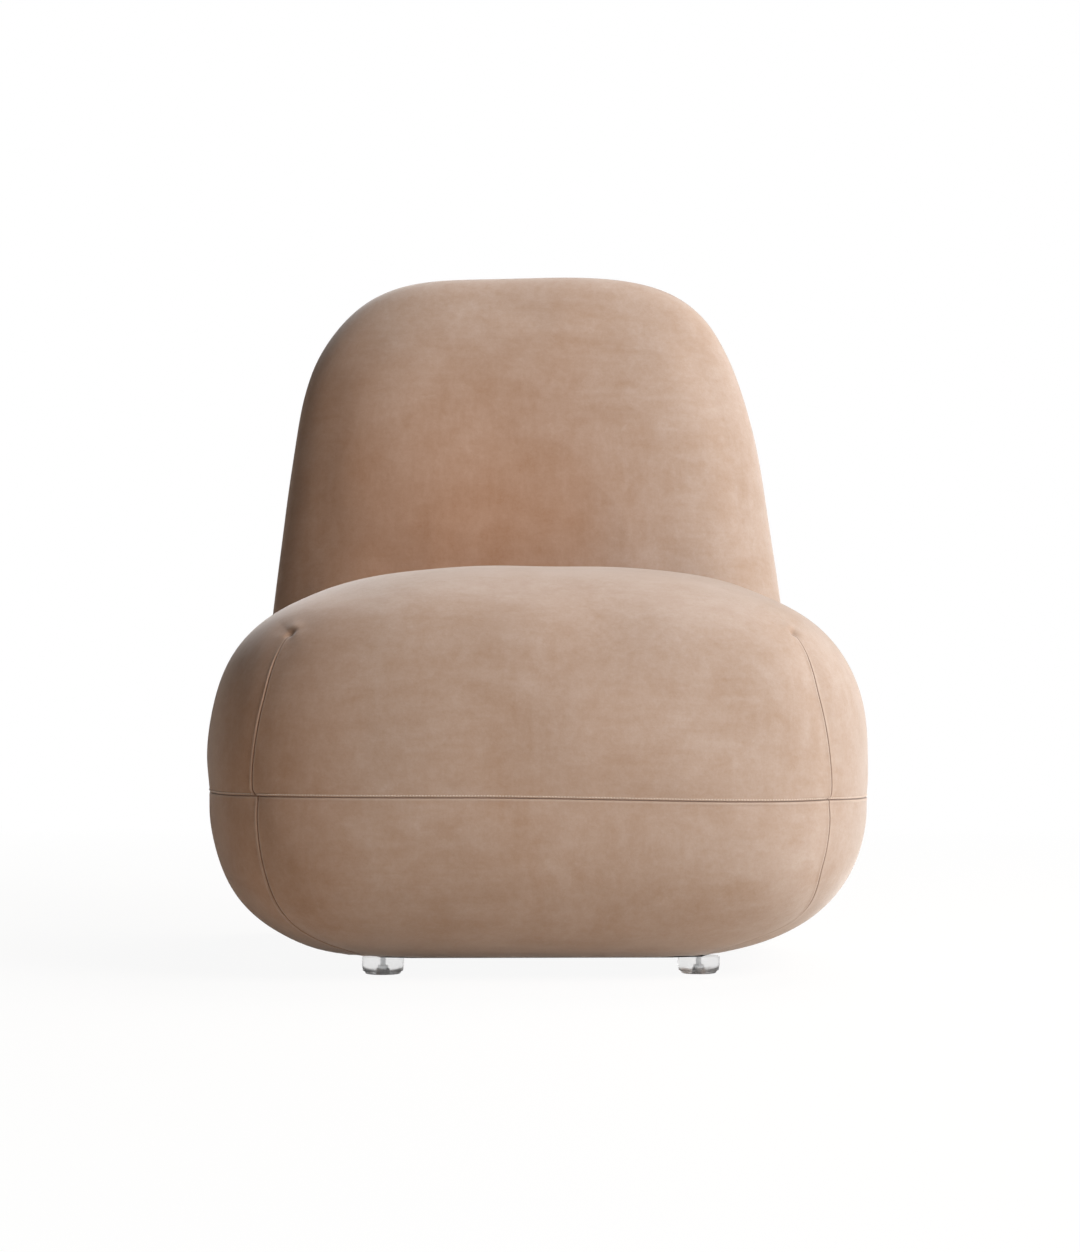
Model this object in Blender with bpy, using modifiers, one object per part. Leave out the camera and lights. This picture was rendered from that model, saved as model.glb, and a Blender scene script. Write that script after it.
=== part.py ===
"""Armless upholstered lounge chair.

A pebble-shaped seat and a leaning back are upholstered round two timber frames that four bolts hold
together. The chair faces -Y and stands on four glides. Its origin is on the floor, under the middle
of its bounding box.
"""

import math

import bmesh
import bpy
import numpy as np
from mathutils import Matrix, Vector

# Form of the seat
SEAT_WIDTH = 0.700
SEAT_DEPTH = 0.580  # nose of the seat to the back, at the height of the seam
SEAT_HEIGHT = 0.426  # crown of the seat
SEAM_HEIGHT = 0.1916
WIDEST_HEIGHT = 0.212
BELLY_SPARE = 0.014  # how far the round belly would pass the flat underside
TAIL_SPARE = 0.004  # how far the round tail would pass the plane where it meets the back
PLAN_POWER = 3.5
BELLY_PLAN_POWER = 5.0
CROWN_POWER = 2.95
BELLY_POWER = 2.9
TAIL_POWER = 6.0

# Form of the back, measured along its lean from the height of the seam
LEAN = math.radians(8)
BACK_LENGTH = 0.6304  # seam height to the top edge
BACK_MIDDLE = 0.1844  # where the back is thickest
BACK_DROP = 0.400  # middle to where the round bottom would close
BACK_WIDTH = 0.620  # at the middle
BACK_THICKNESS = 0.225
BACK_SEAM_SETBACK = 0.050  # rear seam behind the thickest outline
BACK_FRONT_SPARE = 0.003
BACK_SPLAY = math.radians(6.6)
BACK_OUTLINE_POWER = 4.3
BACK_PILLOW_POWER = 2.8
BACK_PRESSED_POWER = 4.5

# Leather, foam and sewing
LEATHER = 0.0014
GAP = 0.0003
WADDING = 0.0022  # room between foam and leather for the fleece
SEAM_GAP = 0.0006
HEM_SHARE = 0.4  # how far under the seat the hem starts, from its middle
HEM_ROOM = 0.0060  # spare room for the folded and stapled hem under the frame
BACK_HEM_SHARE = 0.3
BACK_HEM_MIDDLE_SHARE = 0.5
BACK_DART_SHARE = 0.4
GRID = 10  # faces along each side of a cage
NEAR_SHARE = 1 / GRID**2
SEARCH_LIMIT_SHARE = 2.0
SEARCH_STEPS = 50
MERGE = 0.00001  # points closer than this are one

# Underside
GLIDE_HEIGHT = 0.018
GLIDE_OUTSET = 0.0103  # middle of a corner block to the middle of its glide, outward
GLIDE_DIAMETER = 0.044
GLIDE_FOOT_DIAMETER = 0.038
GLIDE_RIM = 0.008
GLIDE_EDGE_SHARES = (0.7, 0.35)  # the rounded lower edge, outward and upward
SCREW_DIAMETER = 0.005
SCREW_HEAD_DIAMETER = 0.010
SCREW_HEAD_HEIGHT = 0.003
SCREW_LENGTH = 0.040
SCREW_SINK = 0.006
SCREW_TIP_SHARE = 0.4
DUST_THICKNESS = 0.0008
DUST_MARGIN = 0.014
DUST_REACH_SHARE = 0.99  # of the way out to where the flat underside ends
DUST_SIDE_STEPS = 8
STRAIGHT_SHARE = 1e-7  # smallest turn at a point of an outline

# Seat frame
PANEL = 0.018
SIDE_FOAM = 0.155  # side of the seat to the outside of the box
NOSE_FOAM = 0.128  # nose of the seat to the outside of the front panel
CROWN_FOAM = 0.176  # crown of the seat to the top of the box
BOX_LIFT = 0.006  # underside of the panels above the blocks, to clear the rolled edge
REAR_PAD = 0.012
REAR_LIFT = 0.030  # underside of the rear panel above the blocks, where the form rounds up
SIDE_TOE = 0.060  # length of the slanted rear corner under each side panel
BLOCK = 0.042
BLOCK_DROP = 0.070  # top of the box to the top of the blocks
CROSS_RAIL_HEIGHT = 0.060
CROSS_RAIL_DROP = 0.050
EDGE = 0.0015

# Suspension
STRAP_WIDTH = 0.050
STRAP_THICKNESS = 0.0018
STRAPS_LONG = 3
STRAPS_CROSS = 4
STRAP_STEPS = 4
STRAP_LAP_SHARE = 0.85
WEAVE_ROOM = 0.0012
WEAVE_END_SHARE = 0.2  # room left beyond the outer straps, as a share of their pitch
BACK_STRAPS = 4

# Back frame
BOARD_SETBACK = 0.020
BOARD_THICKNESS = 0.024
BOARD_LOW = 0.075
BOARD_HEIGHT = 0.140
POST_DEPTH = 0.078
POST_TOP_DEPTH = 0.040
POST_TOP_INSET = 0.110  # top of the back to the top of the posts
POST_KNEE_RISE = 0.020
RAIL_HEIGHT = 0.060
MIDDLE_RAIL_RISE = 0.150
FOOT_BLOCK_HEIGHT = 0.040
FOOT_BLOCK_DEPTH_SHARE = 0.8  # of the post's depth
FOAM_SPLIT_SHARE = 0.5

# Bolts between the frames
BOLT_DIAMETER = 0.008
BOLT_HEAD_DIAMETER = 0.022
BOLT_HEAD_HEIGHT = 0.006
BOLT_DOME_SHARE = 0.7
BOLT_CLEARANCE = 0.0006
BOLT_INSET = 0.0147  # inner side of a block to the middle of a bolt
BOLT_EDGE = 0.030
OVERRUN = 0.050  # how far a cutter passes what it cuts
BOLT_SIDES = 12
SCREW_SIDES = 8
GLIDE_SIDES = 16

# Places that follow from the sizes
DUST_LOW = GLIDE_HEIGHT + GAP
COVER_LOW = DUST_LOW + DUST_THICKNESS + GAP
FRAME_LOW = COVER_LOW + LEATHER + HEM_ROOM + GAP
BOX_LOW = FRAME_LOW + BOX_LIFT
REAR_LOW = FRAME_LOW + REAR_LIFT
FOAM_INSET = LEATHER + WADDING
SEAT_REACH = SEAT_DEPTH / 2
BOX_HALF_WIDTH = SEAT_WIDTH / 2 - SIDE_FOAM
BOX_NOSE = SEAT_REACH - NOSE_FOAM  # seat middle to the outside of the front panel
BOX_TOP = SEAT_HEIGHT - CROWN_FOAM
BACK_RISE = BACK_LENGTH - BACK_MIDDLE
BACK_FRONT = BACK_THICKNESS / 2 + BACK_FRONT_SPARE
BACK_REAR = BACK_THICKNESS / 2
BACK_SEAM = BACK_THICKNESS / 2 + BACK_SEAM_SETBACK
POST_FRONT = BOARD_SETBACK + BOARD_THICKNESS + GAP
POST_REAR = POST_FRONT + POST_DEPTH
POST_TOP = BACK_LENGTH - POST_TOP_INSET
BLOCK_X = BOX_HALF_WIDTH - PANEL - GAP - BLOCK / 2
BLOCK_Y = -BOX_NOSE + PANEL + GAP + BLOCK / 2
BLOCK_TOP = BOX_TOP - BLOCK_DROP
GLIDE_X = BLOCK_X + GLIDE_OUTSET
BOLT_X = BLOCK_X - BLOCK / 2 - BOLT_INSET
REAR_PANEL_FRONT = -(GAP / 2 + FOAM_INSET + REAR_PAD + PANEL)
STRAP_LEVEL = BOX_TOP + GAP + STRAP_THICKNESS / 2

# Contact plane between seat and back: local x is across, y is rearward, z is up along the back
TO_BACK = Matrix.Translation((0, SEAT_REACH, SEAM_HEIGHT)) @ Matrix.Rotation(-LEAN, 4, "X")

COLOURS = {
    "leather": ((0.50, 0.34, 0.25), 0.75, 0.0),
    "foam": ((0.80, 0.74, 0.55), 0.95, 0.0),
    "plywood": ((0.62, 0.46, 0.29), 0.65, 0.0),
    "webbing": ((0.08, 0.08, 0.08), 0.85, 0.0),
    "dust_cloth": ((0.03, 0.03, 0.03), 0.95, 0.0),
    "glide": ((0.45, 0.45, 0.44), 0.45, 0.0),
    "steel": ((0.60, 0.60, 0.60), 0.35, 1.0),
}


def along_lean(height):
    """How far up the plane between seat and back a height is, from the height of the seam."""
    return (height - SEAM_HEIGHT) / math.cos(LEAN)


def depth_at(rearward, height):
    """Y in the seat's own frame of a place rearward of the plane between seat and back."""
    return (TO_BACK @ Vector((0, rearward, along_lean(height)))).y


def clear_scene():
    for item in list(bpy.data.objects):
        bpy.data.objects.remove(item, do_unlink=True)


def make_materials():
    made = {}
    for name, (colour, roughness, metallic) in COLOURS.items():
        material = bpy.data.materials.new(name)
        material.use_nodes = True
        shader = material.node_tree.nodes["Principled BSDF"]
        shader.inputs["Base Color"].default_value = (*colour, 1)
        shader.inputs["Roughness"].default_value = roughness
        shader.inputs["Metallic"].default_value = metallic
        made[name] = material
    return made


def collection(name):
    group = bpy.data.collections.new(name)
    bpy.context.scene.collection.children.link(group)
    return group


def place(item, material, parent):
    chair_parts.objects.link(item)
    item.parent = parent
    item.data.materials.append(materials[material])
    return item


def mesh_object(name, bm, material, parent=None, smooth=False):
    mesh = bpy.data.meshes.new(name)
    bm.to_mesh(mesh)
    bm.free()
    if smooth:
        mesh.shade_smooth()
    item = bpy.data.objects.new(name, mesh)
    return place(item, material, parent or chair)


def add_cutter(item):
    cutters.objects.link(item)
    item.hide_render = True
    item.display_type = "WIRE"
    return item


def cut(item, tool):
    modifier = item.modifiers.new("cut", "BOOLEAN")
    modifier.operation = "DIFFERENCE"
    modifier.object = tool


def soften(item, width):
    modifier = item.modifiers.new("eased edges", "BEVEL")
    modifier.width = width
    modifier.segments = 1


def box_mesh(low, high):
    bm = bmesh.new()
    bmesh.ops.create_cube(bm, size=1)
    size = [b - a for a, b in zip(low, high)]
    middle = [(a + b) / 2 for a, b in zip(low, high)]
    bmesh.ops.scale(bm, vec=size, verts=bm.verts)
    bmesh.ops.translate(bm, vec=middle, verts=bm.verts)
    return bm


def board(name, low, high, material="plywood", parent=None):
    item = mesh_object(name, box_mesh(low, high), material, parent)
    soften(item, EDGE)
    return item


def keep_side(bm, point, normal):
    """Cuts a closed form by a plane, keeps what lies behind the normal, and closes the cut."""
    geometry = bm.verts[:] + bm.edges[:] + bm.faces[:]
    bmesh.ops.bisect_plane(bm, geom=geometry, plane_co=point, plane_no=normal, clear_outer=True)
    rim = [edge for edge in bm.edges if edge.is_boundary]
    bmesh.ops.holes_fill(bm, edges=rim, sides=0)


def turned(name, profile, steps, material, parent, location, rotation=(0, 0, 0)):
    """Turns a profile of radius and height, listed top to bottom, about its own Z axis."""
    mesh = bpy.data.meshes.new(name)
    edges = [(i, i + 1) for i in range(len(profile) - 1)]
    mesh.from_pydata([(radius, 0, height) for radius, height in profile], edges, [])
    item = bpy.data.objects.new(name, mesh)
    modifier = item.modifiers.new("turn", "SCREW")
    modifier.steps = steps
    modifier.render_steps = steps
    modifier.use_merge_vertices = True
    modifier.merge_threshold = MERGE
    item.location = location
    item.rotation_euler = rotation
    place(item, material, parent)
    return item


# Both upholstered forms are cubes whose points move out along rays to a smooth closed surface


def seat_form(side, run, rise, inset):
    """Below zero inside the seat: a superellipse in plan, drawn in upward and downward by another."""
    climb = rise - (WIDEST_HEIGHT - SEAM_HEIGHT)
    crown = SEAT_HEIGHT - WIDEST_HEIGHT - inset
    belly = WIDEST_HEIGHT - COVER_LOW + BELLY_SPARE - inset
    level = np.abs(climb) / np.where(climb > 0, crown, belly)
    reach = SEAT_REACH + np.where(run > 0, TAIL_SPARE, 0) - inset
    along = np.abs(run) / reach
    across = np.abs(side) / (SEAT_WIDTH / 2 - inset)
    low = np.where(climb < 0, np.clip(level, 0, 1) ** 2, 0)
    tail = np.where(run > 0, np.clip(along, 0, 1) ** 2, 0)
    plan_power = PLAN_POWER + (BELLY_PLAN_POWER - PLAN_POWER) * low
    plan_power = plan_power + (TAIL_POWER - plan_power) * tail
    rise_power = np.where(climb > 0, CROWN_POWER, BELLY_POWER)
    rise_power = rise_power + (TAIL_POWER - rise_power) * tail
    plan = (across**plan_power + along**plan_power) ** (1 / plan_power)
    return plan**rise_power + level**rise_power - 1


def back_form(side, up, rearward, inset):
    """Below zero inside the back: a splayed superellipse seen from the front, pillowed front and rear.

    Below its middle the front is pressed flatter, because the seat stands against it."""
    half = BACK_WIDTH / 2 - math.tan(BACK_SPLAY) * up - inset
    across = np.abs(side) / np.maximum(half, inset)
    along = np.abs(up) / (np.where(up > 0, BACK_RISE, BACK_DROP) - inset)
    outline = (across**BACK_OUTLINE_POWER + along**BACK_OUTLINE_POWER) ** (1 / BACK_OUTLINE_POWER)
    depth = rearward + BACK_SEAM_SETBACK
    thick = np.abs(depth) / (np.where(depth < 0, BACK_FRONT, BACK_REAR) - inset)
    below = np.clip(along, 0, 1)
    pressed = np.where((depth < 0) & (up < 0), below * below * (3 - 2 * below), 0)
    power = BACK_PILLOW_POWER + (BACK_PRESSED_POWER - BACK_PILLOW_POWER) * pressed
    return outline**power + thick**power - 1


def grow(cage, form, inset):
    """Moves each cage point along its ray from the middle to where the form ends, by halving."""
    near = np.zeros(len(cage))
    far = np.full(len(cage), SEARCH_LIMIT_SHARE)
    for _ in range(SEARCH_STEPS):
        middle = (near + far) / 2
        inside = form(*(cage * middle[:, None]).T, inset) < 0
        near = np.where(inside, middle, near)
        far = np.where(inside, far, middle)
    return cage * near[:, None]


def seat_surface(cage, inset=0.0):
    """Cage points of a cube of half size 1 to the seat's surface, in the seat's own frame."""
    lift = np.where(cage[:, 2] > 0, SEAT_HEIGHT - SEAM_HEIGHT, SEAM_HEIGHT - COVER_LOW)
    size_across = np.full(len(cage), SEAT_WIDTH / 2)
    size_along = np.full(len(cage), SEAT_REACH)
    sized = cage * np.stack([size_across, size_along, lift], 1)
    points = grow(sized, seat_form, inset)
    tail_share = np.clip(points[:, 1] / SEAT_REACH, 0, 1)
    points[:, 1] += math.tan(LEAN) * points[:, 2] * tail_share
    plane = SEAT_REACH + math.tan(LEAN) * points[:, 2] - (GAP / 2 + inset) / math.cos(LEAN)
    points[:, 1] = np.minimum(points[:, 1], plane)
    points[:, 2] = np.maximum(points[:, 2] + SEAM_HEIGHT, COVER_LOW + inset)
    return points


def back_surface(cage, inset=0.0):
    """Cage points to the back's surface, in the seat's own frame. The cage's Z runs rearward."""
    size_up = np.where(cage[:, 1] > 0, BACK_RISE, BACK_DROP)
    size_in = np.where(cage[:, 2] > 0, BACK_REAR - BACK_SEAM_SETBACK, BACK_FRONT + BACK_SEAM_SETBACK)
    sized = cage * np.stack([np.full(len(cage), BACK_WIDTH / 2), size_up, size_in], 1)
    points = grow(sized, back_form, inset)
    rearward = np.maximum(points[:, 2] + BACK_SEAM, GAP / 2 + inset)
    local = np.stack([points[:, 0], rearward, points[:, 1] + BACK_MIDDLE, np.ones(len(cage))], 1)
    world = (local @ np.array(TO_BACK).T)[:, :3]
    world[:, 2] = np.maximum(world[:, 2], COVER_LOW + inset)
    return world


def coordinates(bm):
    return np.array([vert.co for vert in bm.verts])


def set_coordinates(bm, points):
    for vert, point in zip(bm.verts, points):
        vert.co = point


def make_cage(surface, mitred):
    """A subdivided cube whose faces are split into triangles by the shorter way on the real surface.

    A mitred cage has an edge along both diagonals of its underside, for the seams that meet there."""
    bm = bmesh.new()
    bmesh.ops.create_cube(bm, size=2)
    bmesh.ops.subdivide_edges(bm, edges=bm.edges[:], cuts=GRID - 1, use_grid_fill=True)
    for turn in (1, -1) if mitred else ():
        under = [face for face in bm.faces if face.calc_center_median().z < -1 + NEAR_SHARE]
        edges = list({edge for face in under for edge in face.edges})
        verts = list({vert for face in under for vert in face.verts})
        mitre = {"plane_co": (0, 0, 0), "plane_no": (1, turn, 0), "dist": NEAR_SHARE}
        bmesh.ops.bisect_plane(bm, geom=under + edges + verts, **mitre)
    cage = coordinates(bm)
    set_coordinates(bm, surface(cage))
    bmesh.ops.triangulate(bm, faces=bm.faces[:], quad_method="SHORT_EDGE")
    set_coordinates(bm, cage)
    return bm


def solid_form(cage_bm, surface, inset):
    bm = cage_bm.copy()
    set_coordinates(bm, surface(coordinates(bm), inset))
    bmesh.ops.recalc_face_normals(bm, faces=bm.faces[:])
    return bm


def cover_panel(name, cage_bm, surface, belongs, is_dart):
    """One leather panel: a stretch of the form's surface, open at its seams, given its thickness."""
    bm = cage_bm.copy()
    cage = coordinates(bm)
    set_coordinates(bm, surface(cage))
    bmesh.ops.recalc_face_normals(bm, faces=bm.faces[:])
    set_coordinates(bm, cage)
    others = [face for face in bm.faces if not belongs(face.calc_center_median())]
    bmesh.ops.delete(bm, geom=others, context="FACES")
    darts = [edge for edge in bm.edges if not edge.is_boundary and is_dart(edge)]
    bmesh.ops.split_edges(bm, edges=darts)
    set_coordinates(bm, surface(coordinates(bm)))
    pulls = {}
    for vert in bm.verts:
        if vert.is_boundary:
            middle = sum((face.calc_center_median() for face in vert.link_faces), Vector())
            inward = middle / len(vert.link_faces) - vert.co
            pulls[vert] = inward.normalized() * SEAM_GAP
    for vert, pull in pulls.items():
        vert.co += pull
    item = mesh_object(name, bm, "leather", smooth=True)
    shell = item.modifiers.new("leather", "SOLIDIFY")
    shell.thickness = LEATHER
    shell.offset = -1
    shell.use_even_offset = True
    return item


def seat_covers():
    def corner(edge):
        ends = [vert.co for vert in edge.verts]
        return all(min(abs(end.x), abs(end.y)) > 1 - NEAR_SHARE for end in ends)

    def band(axis, side):
        def belongs(point):
            if point.z > 0 or max(abs(point.x), abs(point.y)) < HEM_SHARE:
                return False
            other = 1 - axis
            return abs(point[axis]) > abs(point[other]) and point[axis] * side > 0

        return belongs

    def none(edge):
        return False

    cover_panel("seat_cover_top", seat_cage, seat_surface, lambda point: point.z > 0, corner)
    front = cover_panel("seat_cover_front", seat_cage, seat_surface, band(1, -1), none)
    left = cover_panel("seat_cover_left", seat_cage, seat_surface, band(0, -1), none)
    right = cover_panel("seat_cover_right", seat_cage, seat_surface, band(0, 1), none)
    rear = cover_panel("seat_cover_rear", seat_cage, seat_surface, band(1, 1), none)
    for name, sides in (("front_left", (front, left)), ("front_right", (front, right))):
        for panel in sides:
            cut(panel, screw_cutters[name])
    for tool in bolt_cutters:
        cut(rear, tool)


def back_covers():
    def corner(edge):
        ends = [vert.co for vert in edge.verts]
        at_corner = all(min(abs(end.x), end.y) > 1 - NEAR_SHARE for end in ends)
        return at_corner and all(-BACK_DART_SHARE - NEAR_SHARE < end.z < NEAR_SHARE for end in ends)

    def in_front(point):
        below = point.y < -1 + NEAR_SHARE and abs(point.x) < HEM_SHARE
        in_hem = below and abs(point.z + BACK_HEM_MIDDLE_SHARE) < BACK_HEM_SHARE
        return point.z < 0 and not in_hem

    front = cover_panel("back_cover_front", back_cage, back_surface, in_front, corner)
    cover_panel("back_cover_rear", back_cage, back_surface, lambda point: point.z > 0, corner)
    for tool in [*bolt_cutters, screw_cutters["rear_left"], screw_cutters["rear_right"]]:
        cut(front, tool)


def back_plane(rearward):
    """A point and the rearward normal of a plane parallel to the back."""
    point = TO_BACK @ Vector((0, rearward, 0))
    normal = TO_BACK.to_3x3() @ Vector((0, 1, 0))
    return point, normal


def seat_foam():
    deck = STRAP_LEVEL + 2 * weave_height() + STRAP_THICKNESS / 2 + GAP
    rear_point, rear_normal = back_plane(REAR_PANEL_FRONT + PANEL + GAP)
    side = BOX_HALF_WIDTH + GAP
    nose = -BOX_NOSE - GAP
    down = (0, 0, -1)

    top = solid_form(seat_cage, seat_surface, FOAM_INSET)
    keep_side(top, (0, 0, deck), down)
    mesh_object("seat_foam_top", top, "foam", smooth=True)

    front = solid_form(seat_cage, seat_surface, FOAM_INSET)
    keep_side(front, (0, 0, deck - GAP), (0, 0, 1))
    keep_side(front, (0, nose, 0), (0, 1, 0))
    mesh_object("seat_foam_front", front, "foam", smooth=True)

    for name, turn in (("left", -1), ("right", 1)):
        pad = solid_form(seat_cage, seat_surface, FOAM_INSET)
        keep_side(pad, (0, 0, deck - GAP), (0, 0, 1))
        keep_side(pad, (turn * side, 0, 0), (-turn, 0, 0))
        keep_side(pad, (0, nose + GAP, 0), (0, -1, 0))
        keep_side(pad, rear_point - rear_normal * GAP, rear_normal)
        mesh_object("seat_foam_" + name, pad, "foam", smooth=True)

    rear = solid_form(seat_cage, seat_surface, FOAM_INSET)
    keep_side(rear, (0, 0, deck - GAP), (0, 0, 1))
    keep_side(rear, rear_point, -rear_normal)
    pad = mesh_object("seat_foam_rear", rear, "foam", smooth=True)
    for tool in bolt_cutters:
        cut(pad, tool)


def frame_outline(front_allowance, end_allowance, base):
    """Side outline of the back frame in local rearward and upward sizes, base given in height."""
    sink = math.tan(LEAN)
    front = POST_FRONT - front_allowance
    rear = POST_REAR + end_allowance
    top = POST_TOP + end_allowance
    knee = along_lean(BOARD_LOW + BOARD_HEIGHT) + POST_KNEE_RISE
    drop = along_lean(base)
    return [
        (front, drop + front * sink),
        (front, knee),
        (POST_REAR - POST_TOP_DEPTH - front_allowance, top),
        (rear, top),
        (rear, drop + rear * sink),
    ]


def side_plate(name, outline, centre_x, thickness):
    """A flat plate that stands across X, from an outline of rearward and upward sizes."""
    curve = bpy.data.curves.new(name, "CURVE")
    curve.dimensions = "2D"
    curve.fill_mode = "BOTH"
    curve.extrude = thickness / 2
    spline = curve.splines.new("POLY")
    spline.points.add(len(outline) - 1)
    spline.use_cyclic_u = True
    for point, (rearward, up) in zip(spline.points, outline):
        point.co = (rearward, up, 0, 1)
    item = bpy.data.objects.new(name, curve)
    item.location = (centre_x, 0, 0)
    item.rotation_euler = (math.pi / 2, 0, math.pi / 2)
    return item


def meshed(item):
    """A welded mesh of a curve object, in the same place."""
    bpy.context.scene.collection.objects.link(item)
    bpy.context.view_layer.update()
    ready = item.evaluated_get(bpy.context.evaluated_depsgraph_get())
    mesh = bpy.data.meshes.new_from_object(ready)
    bm = bmesh.new()
    bm.from_mesh(mesh)
    bmesh.ops.remove_doubles(bm, verts=bm.verts, dist=MERGE)
    bm.to_mesh(mesh)
    bm.free()
    solid = bpy.data.objects.new(item.name, mesh)
    solid.matrix_world = item.matrix_world
    name = item.name
    bpy.data.objects.remove(item, do_unlink=True)
    solid.name = name
    return solid


def back_frame():
    post_x = BOX_HALF_WIDTH - PANEL / 2
    for name, turn in (("left", -1), ("right", 1)):
        post = side_plate("back_post_" + name, frame_outline(0, 0, FRAME_LOW), turn * post_x, PANEL)
        place(post, "plywood", lean)
    inner = BOX_HALF_WIDTH - PANEL - GAP
    low = along_lean(BOARD_LOW)
    mount = board(
        "back_mount_board",
        (-BOX_HALF_WIDTH, BOARD_SETBACK, low),
        (BOX_HALF_WIDTH, BOARD_SETBACK + BOARD_THICKNESS, low + BOARD_HEIGHT),
        parent=lean,
    )
    for tool in bolt_cutters:
        cut(mount, tool)
    for name, level in (("middle", MIDDLE_RAIL_RISE), ("top", POST_TOP - RAIL_HEIGHT)):
        board(
            f"back_{name}_rail",
            (-inner, POST_REAR - PANEL, level),
            (inner, POST_REAR, level + RAIL_HEIGHT),
            parent=lean,
        )


def back_foam():
    envelope = frame_outline(BOARD_THICKNESS + 2 * GAP, GAP, GLIDE_HEIGHT - OVERRUN)
    tool = side_plate("back_frame_pocket", envelope, 0, 2 * (BOX_HALF_WIDTH + GAP))
    solid = meshed(tool)
    solid.parent = lean
    pocket = add_cutter(solid)
    split = BACK_THICKNESS * FOAM_SPLIT_SHARE
    for name, rearward, turn in (("front", split, 1), ("rear", split + GAP, -1)):
        block = solid_form(back_cage, back_surface, FOAM_INSET)
        point, normal = back_plane(rearward)
        keep_side(block, point, normal * turn)
        item = mesh_object("back_foam_" + name, block, "foam", smooth=True)
        cut(item, pocket)
        if name == "front":
            for hole in bolt_cutters:
                cut(item, hole)


def weave_pitch(count, span):
    return span / (count + WEAVE_END_SHARE)


def weave_height():
    """How far a strap swings to pass over the next at the edges of their crossing."""
    across = weave_pitch(STRAPS_LONG, 2 * BOX_HALF_WIDTH)
    along = weave_pitch(STRAPS_CROSS, seat_box_length())
    pitch = min(across, along)
    return (STRAP_THICKNESS + WEAVE_ROOM) / (2 * math.cos(math.pi * STRAP_WIDTH / 2 / pitch))


def seat_box_length():
    """Outside of the front panel to the front of the rear panel, at the top of the box."""
    return depth_at(REAR_PANEL_FRONT, BOX_TOP) + BOX_NOSE


def woven_strap(name, length, middle, across, crossings, pitch, phase, turned_over, along_y):
    """A strap that passes over and under those across it, and comes down to the panels at its ends."""
    steps = STRAP_STEPS * (crossings + 1)
    bm = bmesh.new()
    bmesh.ops.create_grid(bm, x_segments=steps, y_segments=1, size=1)
    swing = weave_height()
    first = -pitch * (crossings - 1) / 2
    for vert in bm.verts:
        run = vert.co.x * length / 2
        beyond = max(0, abs(run) + first - STRAP_WIDTH / 2)
        room = length / 2 + first - STRAP_WIDTH / 2 - PANEL
        fade = math.cos(min(1, beyond / room) * math.pi / 2) ** 2
        wave = math.cos(math.pi * ((run - first) / pitch + phase))
        level = STRAP_LEVEL + swing * (1 + turned_over * wave) * fade
        edge = vert.co.y * STRAP_WIDTH / 2 + across
        vert.co = (edge, run + middle, level) if along_y else (run, edge, level)
    bmesh.ops.recalc_face_normals(bm, faces=bm.faces[:])
    item = mesh_object(name, bm, "webbing", smooth=True)
    shell = item.modifiers.new("strap", "SOLIDIFY")
    shell.thickness = STRAP_THICKNESS
    shell.offset = 0
    return item


def seat_straps():
    length = seat_box_length()
    middle = length / 2 - BOX_NOSE
    long_pitch = weave_pitch(STRAPS_LONG, 2 * BOX_HALF_WIDTH)
    cross_pitch = weave_pitch(STRAPS_CROSS, length)
    for i in range(STRAPS_LONG):
        across = (i - (STRAPS_LONG - 1) / 2) * long_pitch
        span = length - 2 * PANEL * (1 - STRAP_LAP_SHARE)
        name = f"seat_strap_long_{i + 1}"
        woven_strap(name, span, middle, across, STRAPS_CROSS, cross_pitch, i, 1, True)
    for i in range(STRAPS_CROSS):
        across = middle + (i - (STRAPS_CROSS - 1) / 2) * cross_pitch
        span = 2 * (BOX_HALF_WIDTH - PANEL * (1 - STRAP_LAP_SHARE))
        name = f"seat_strap_cross_{i + 1}"
        woven_strap(name, span, 0, across, STRAPS_LONG, long_pitch, i, -1, False)


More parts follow.
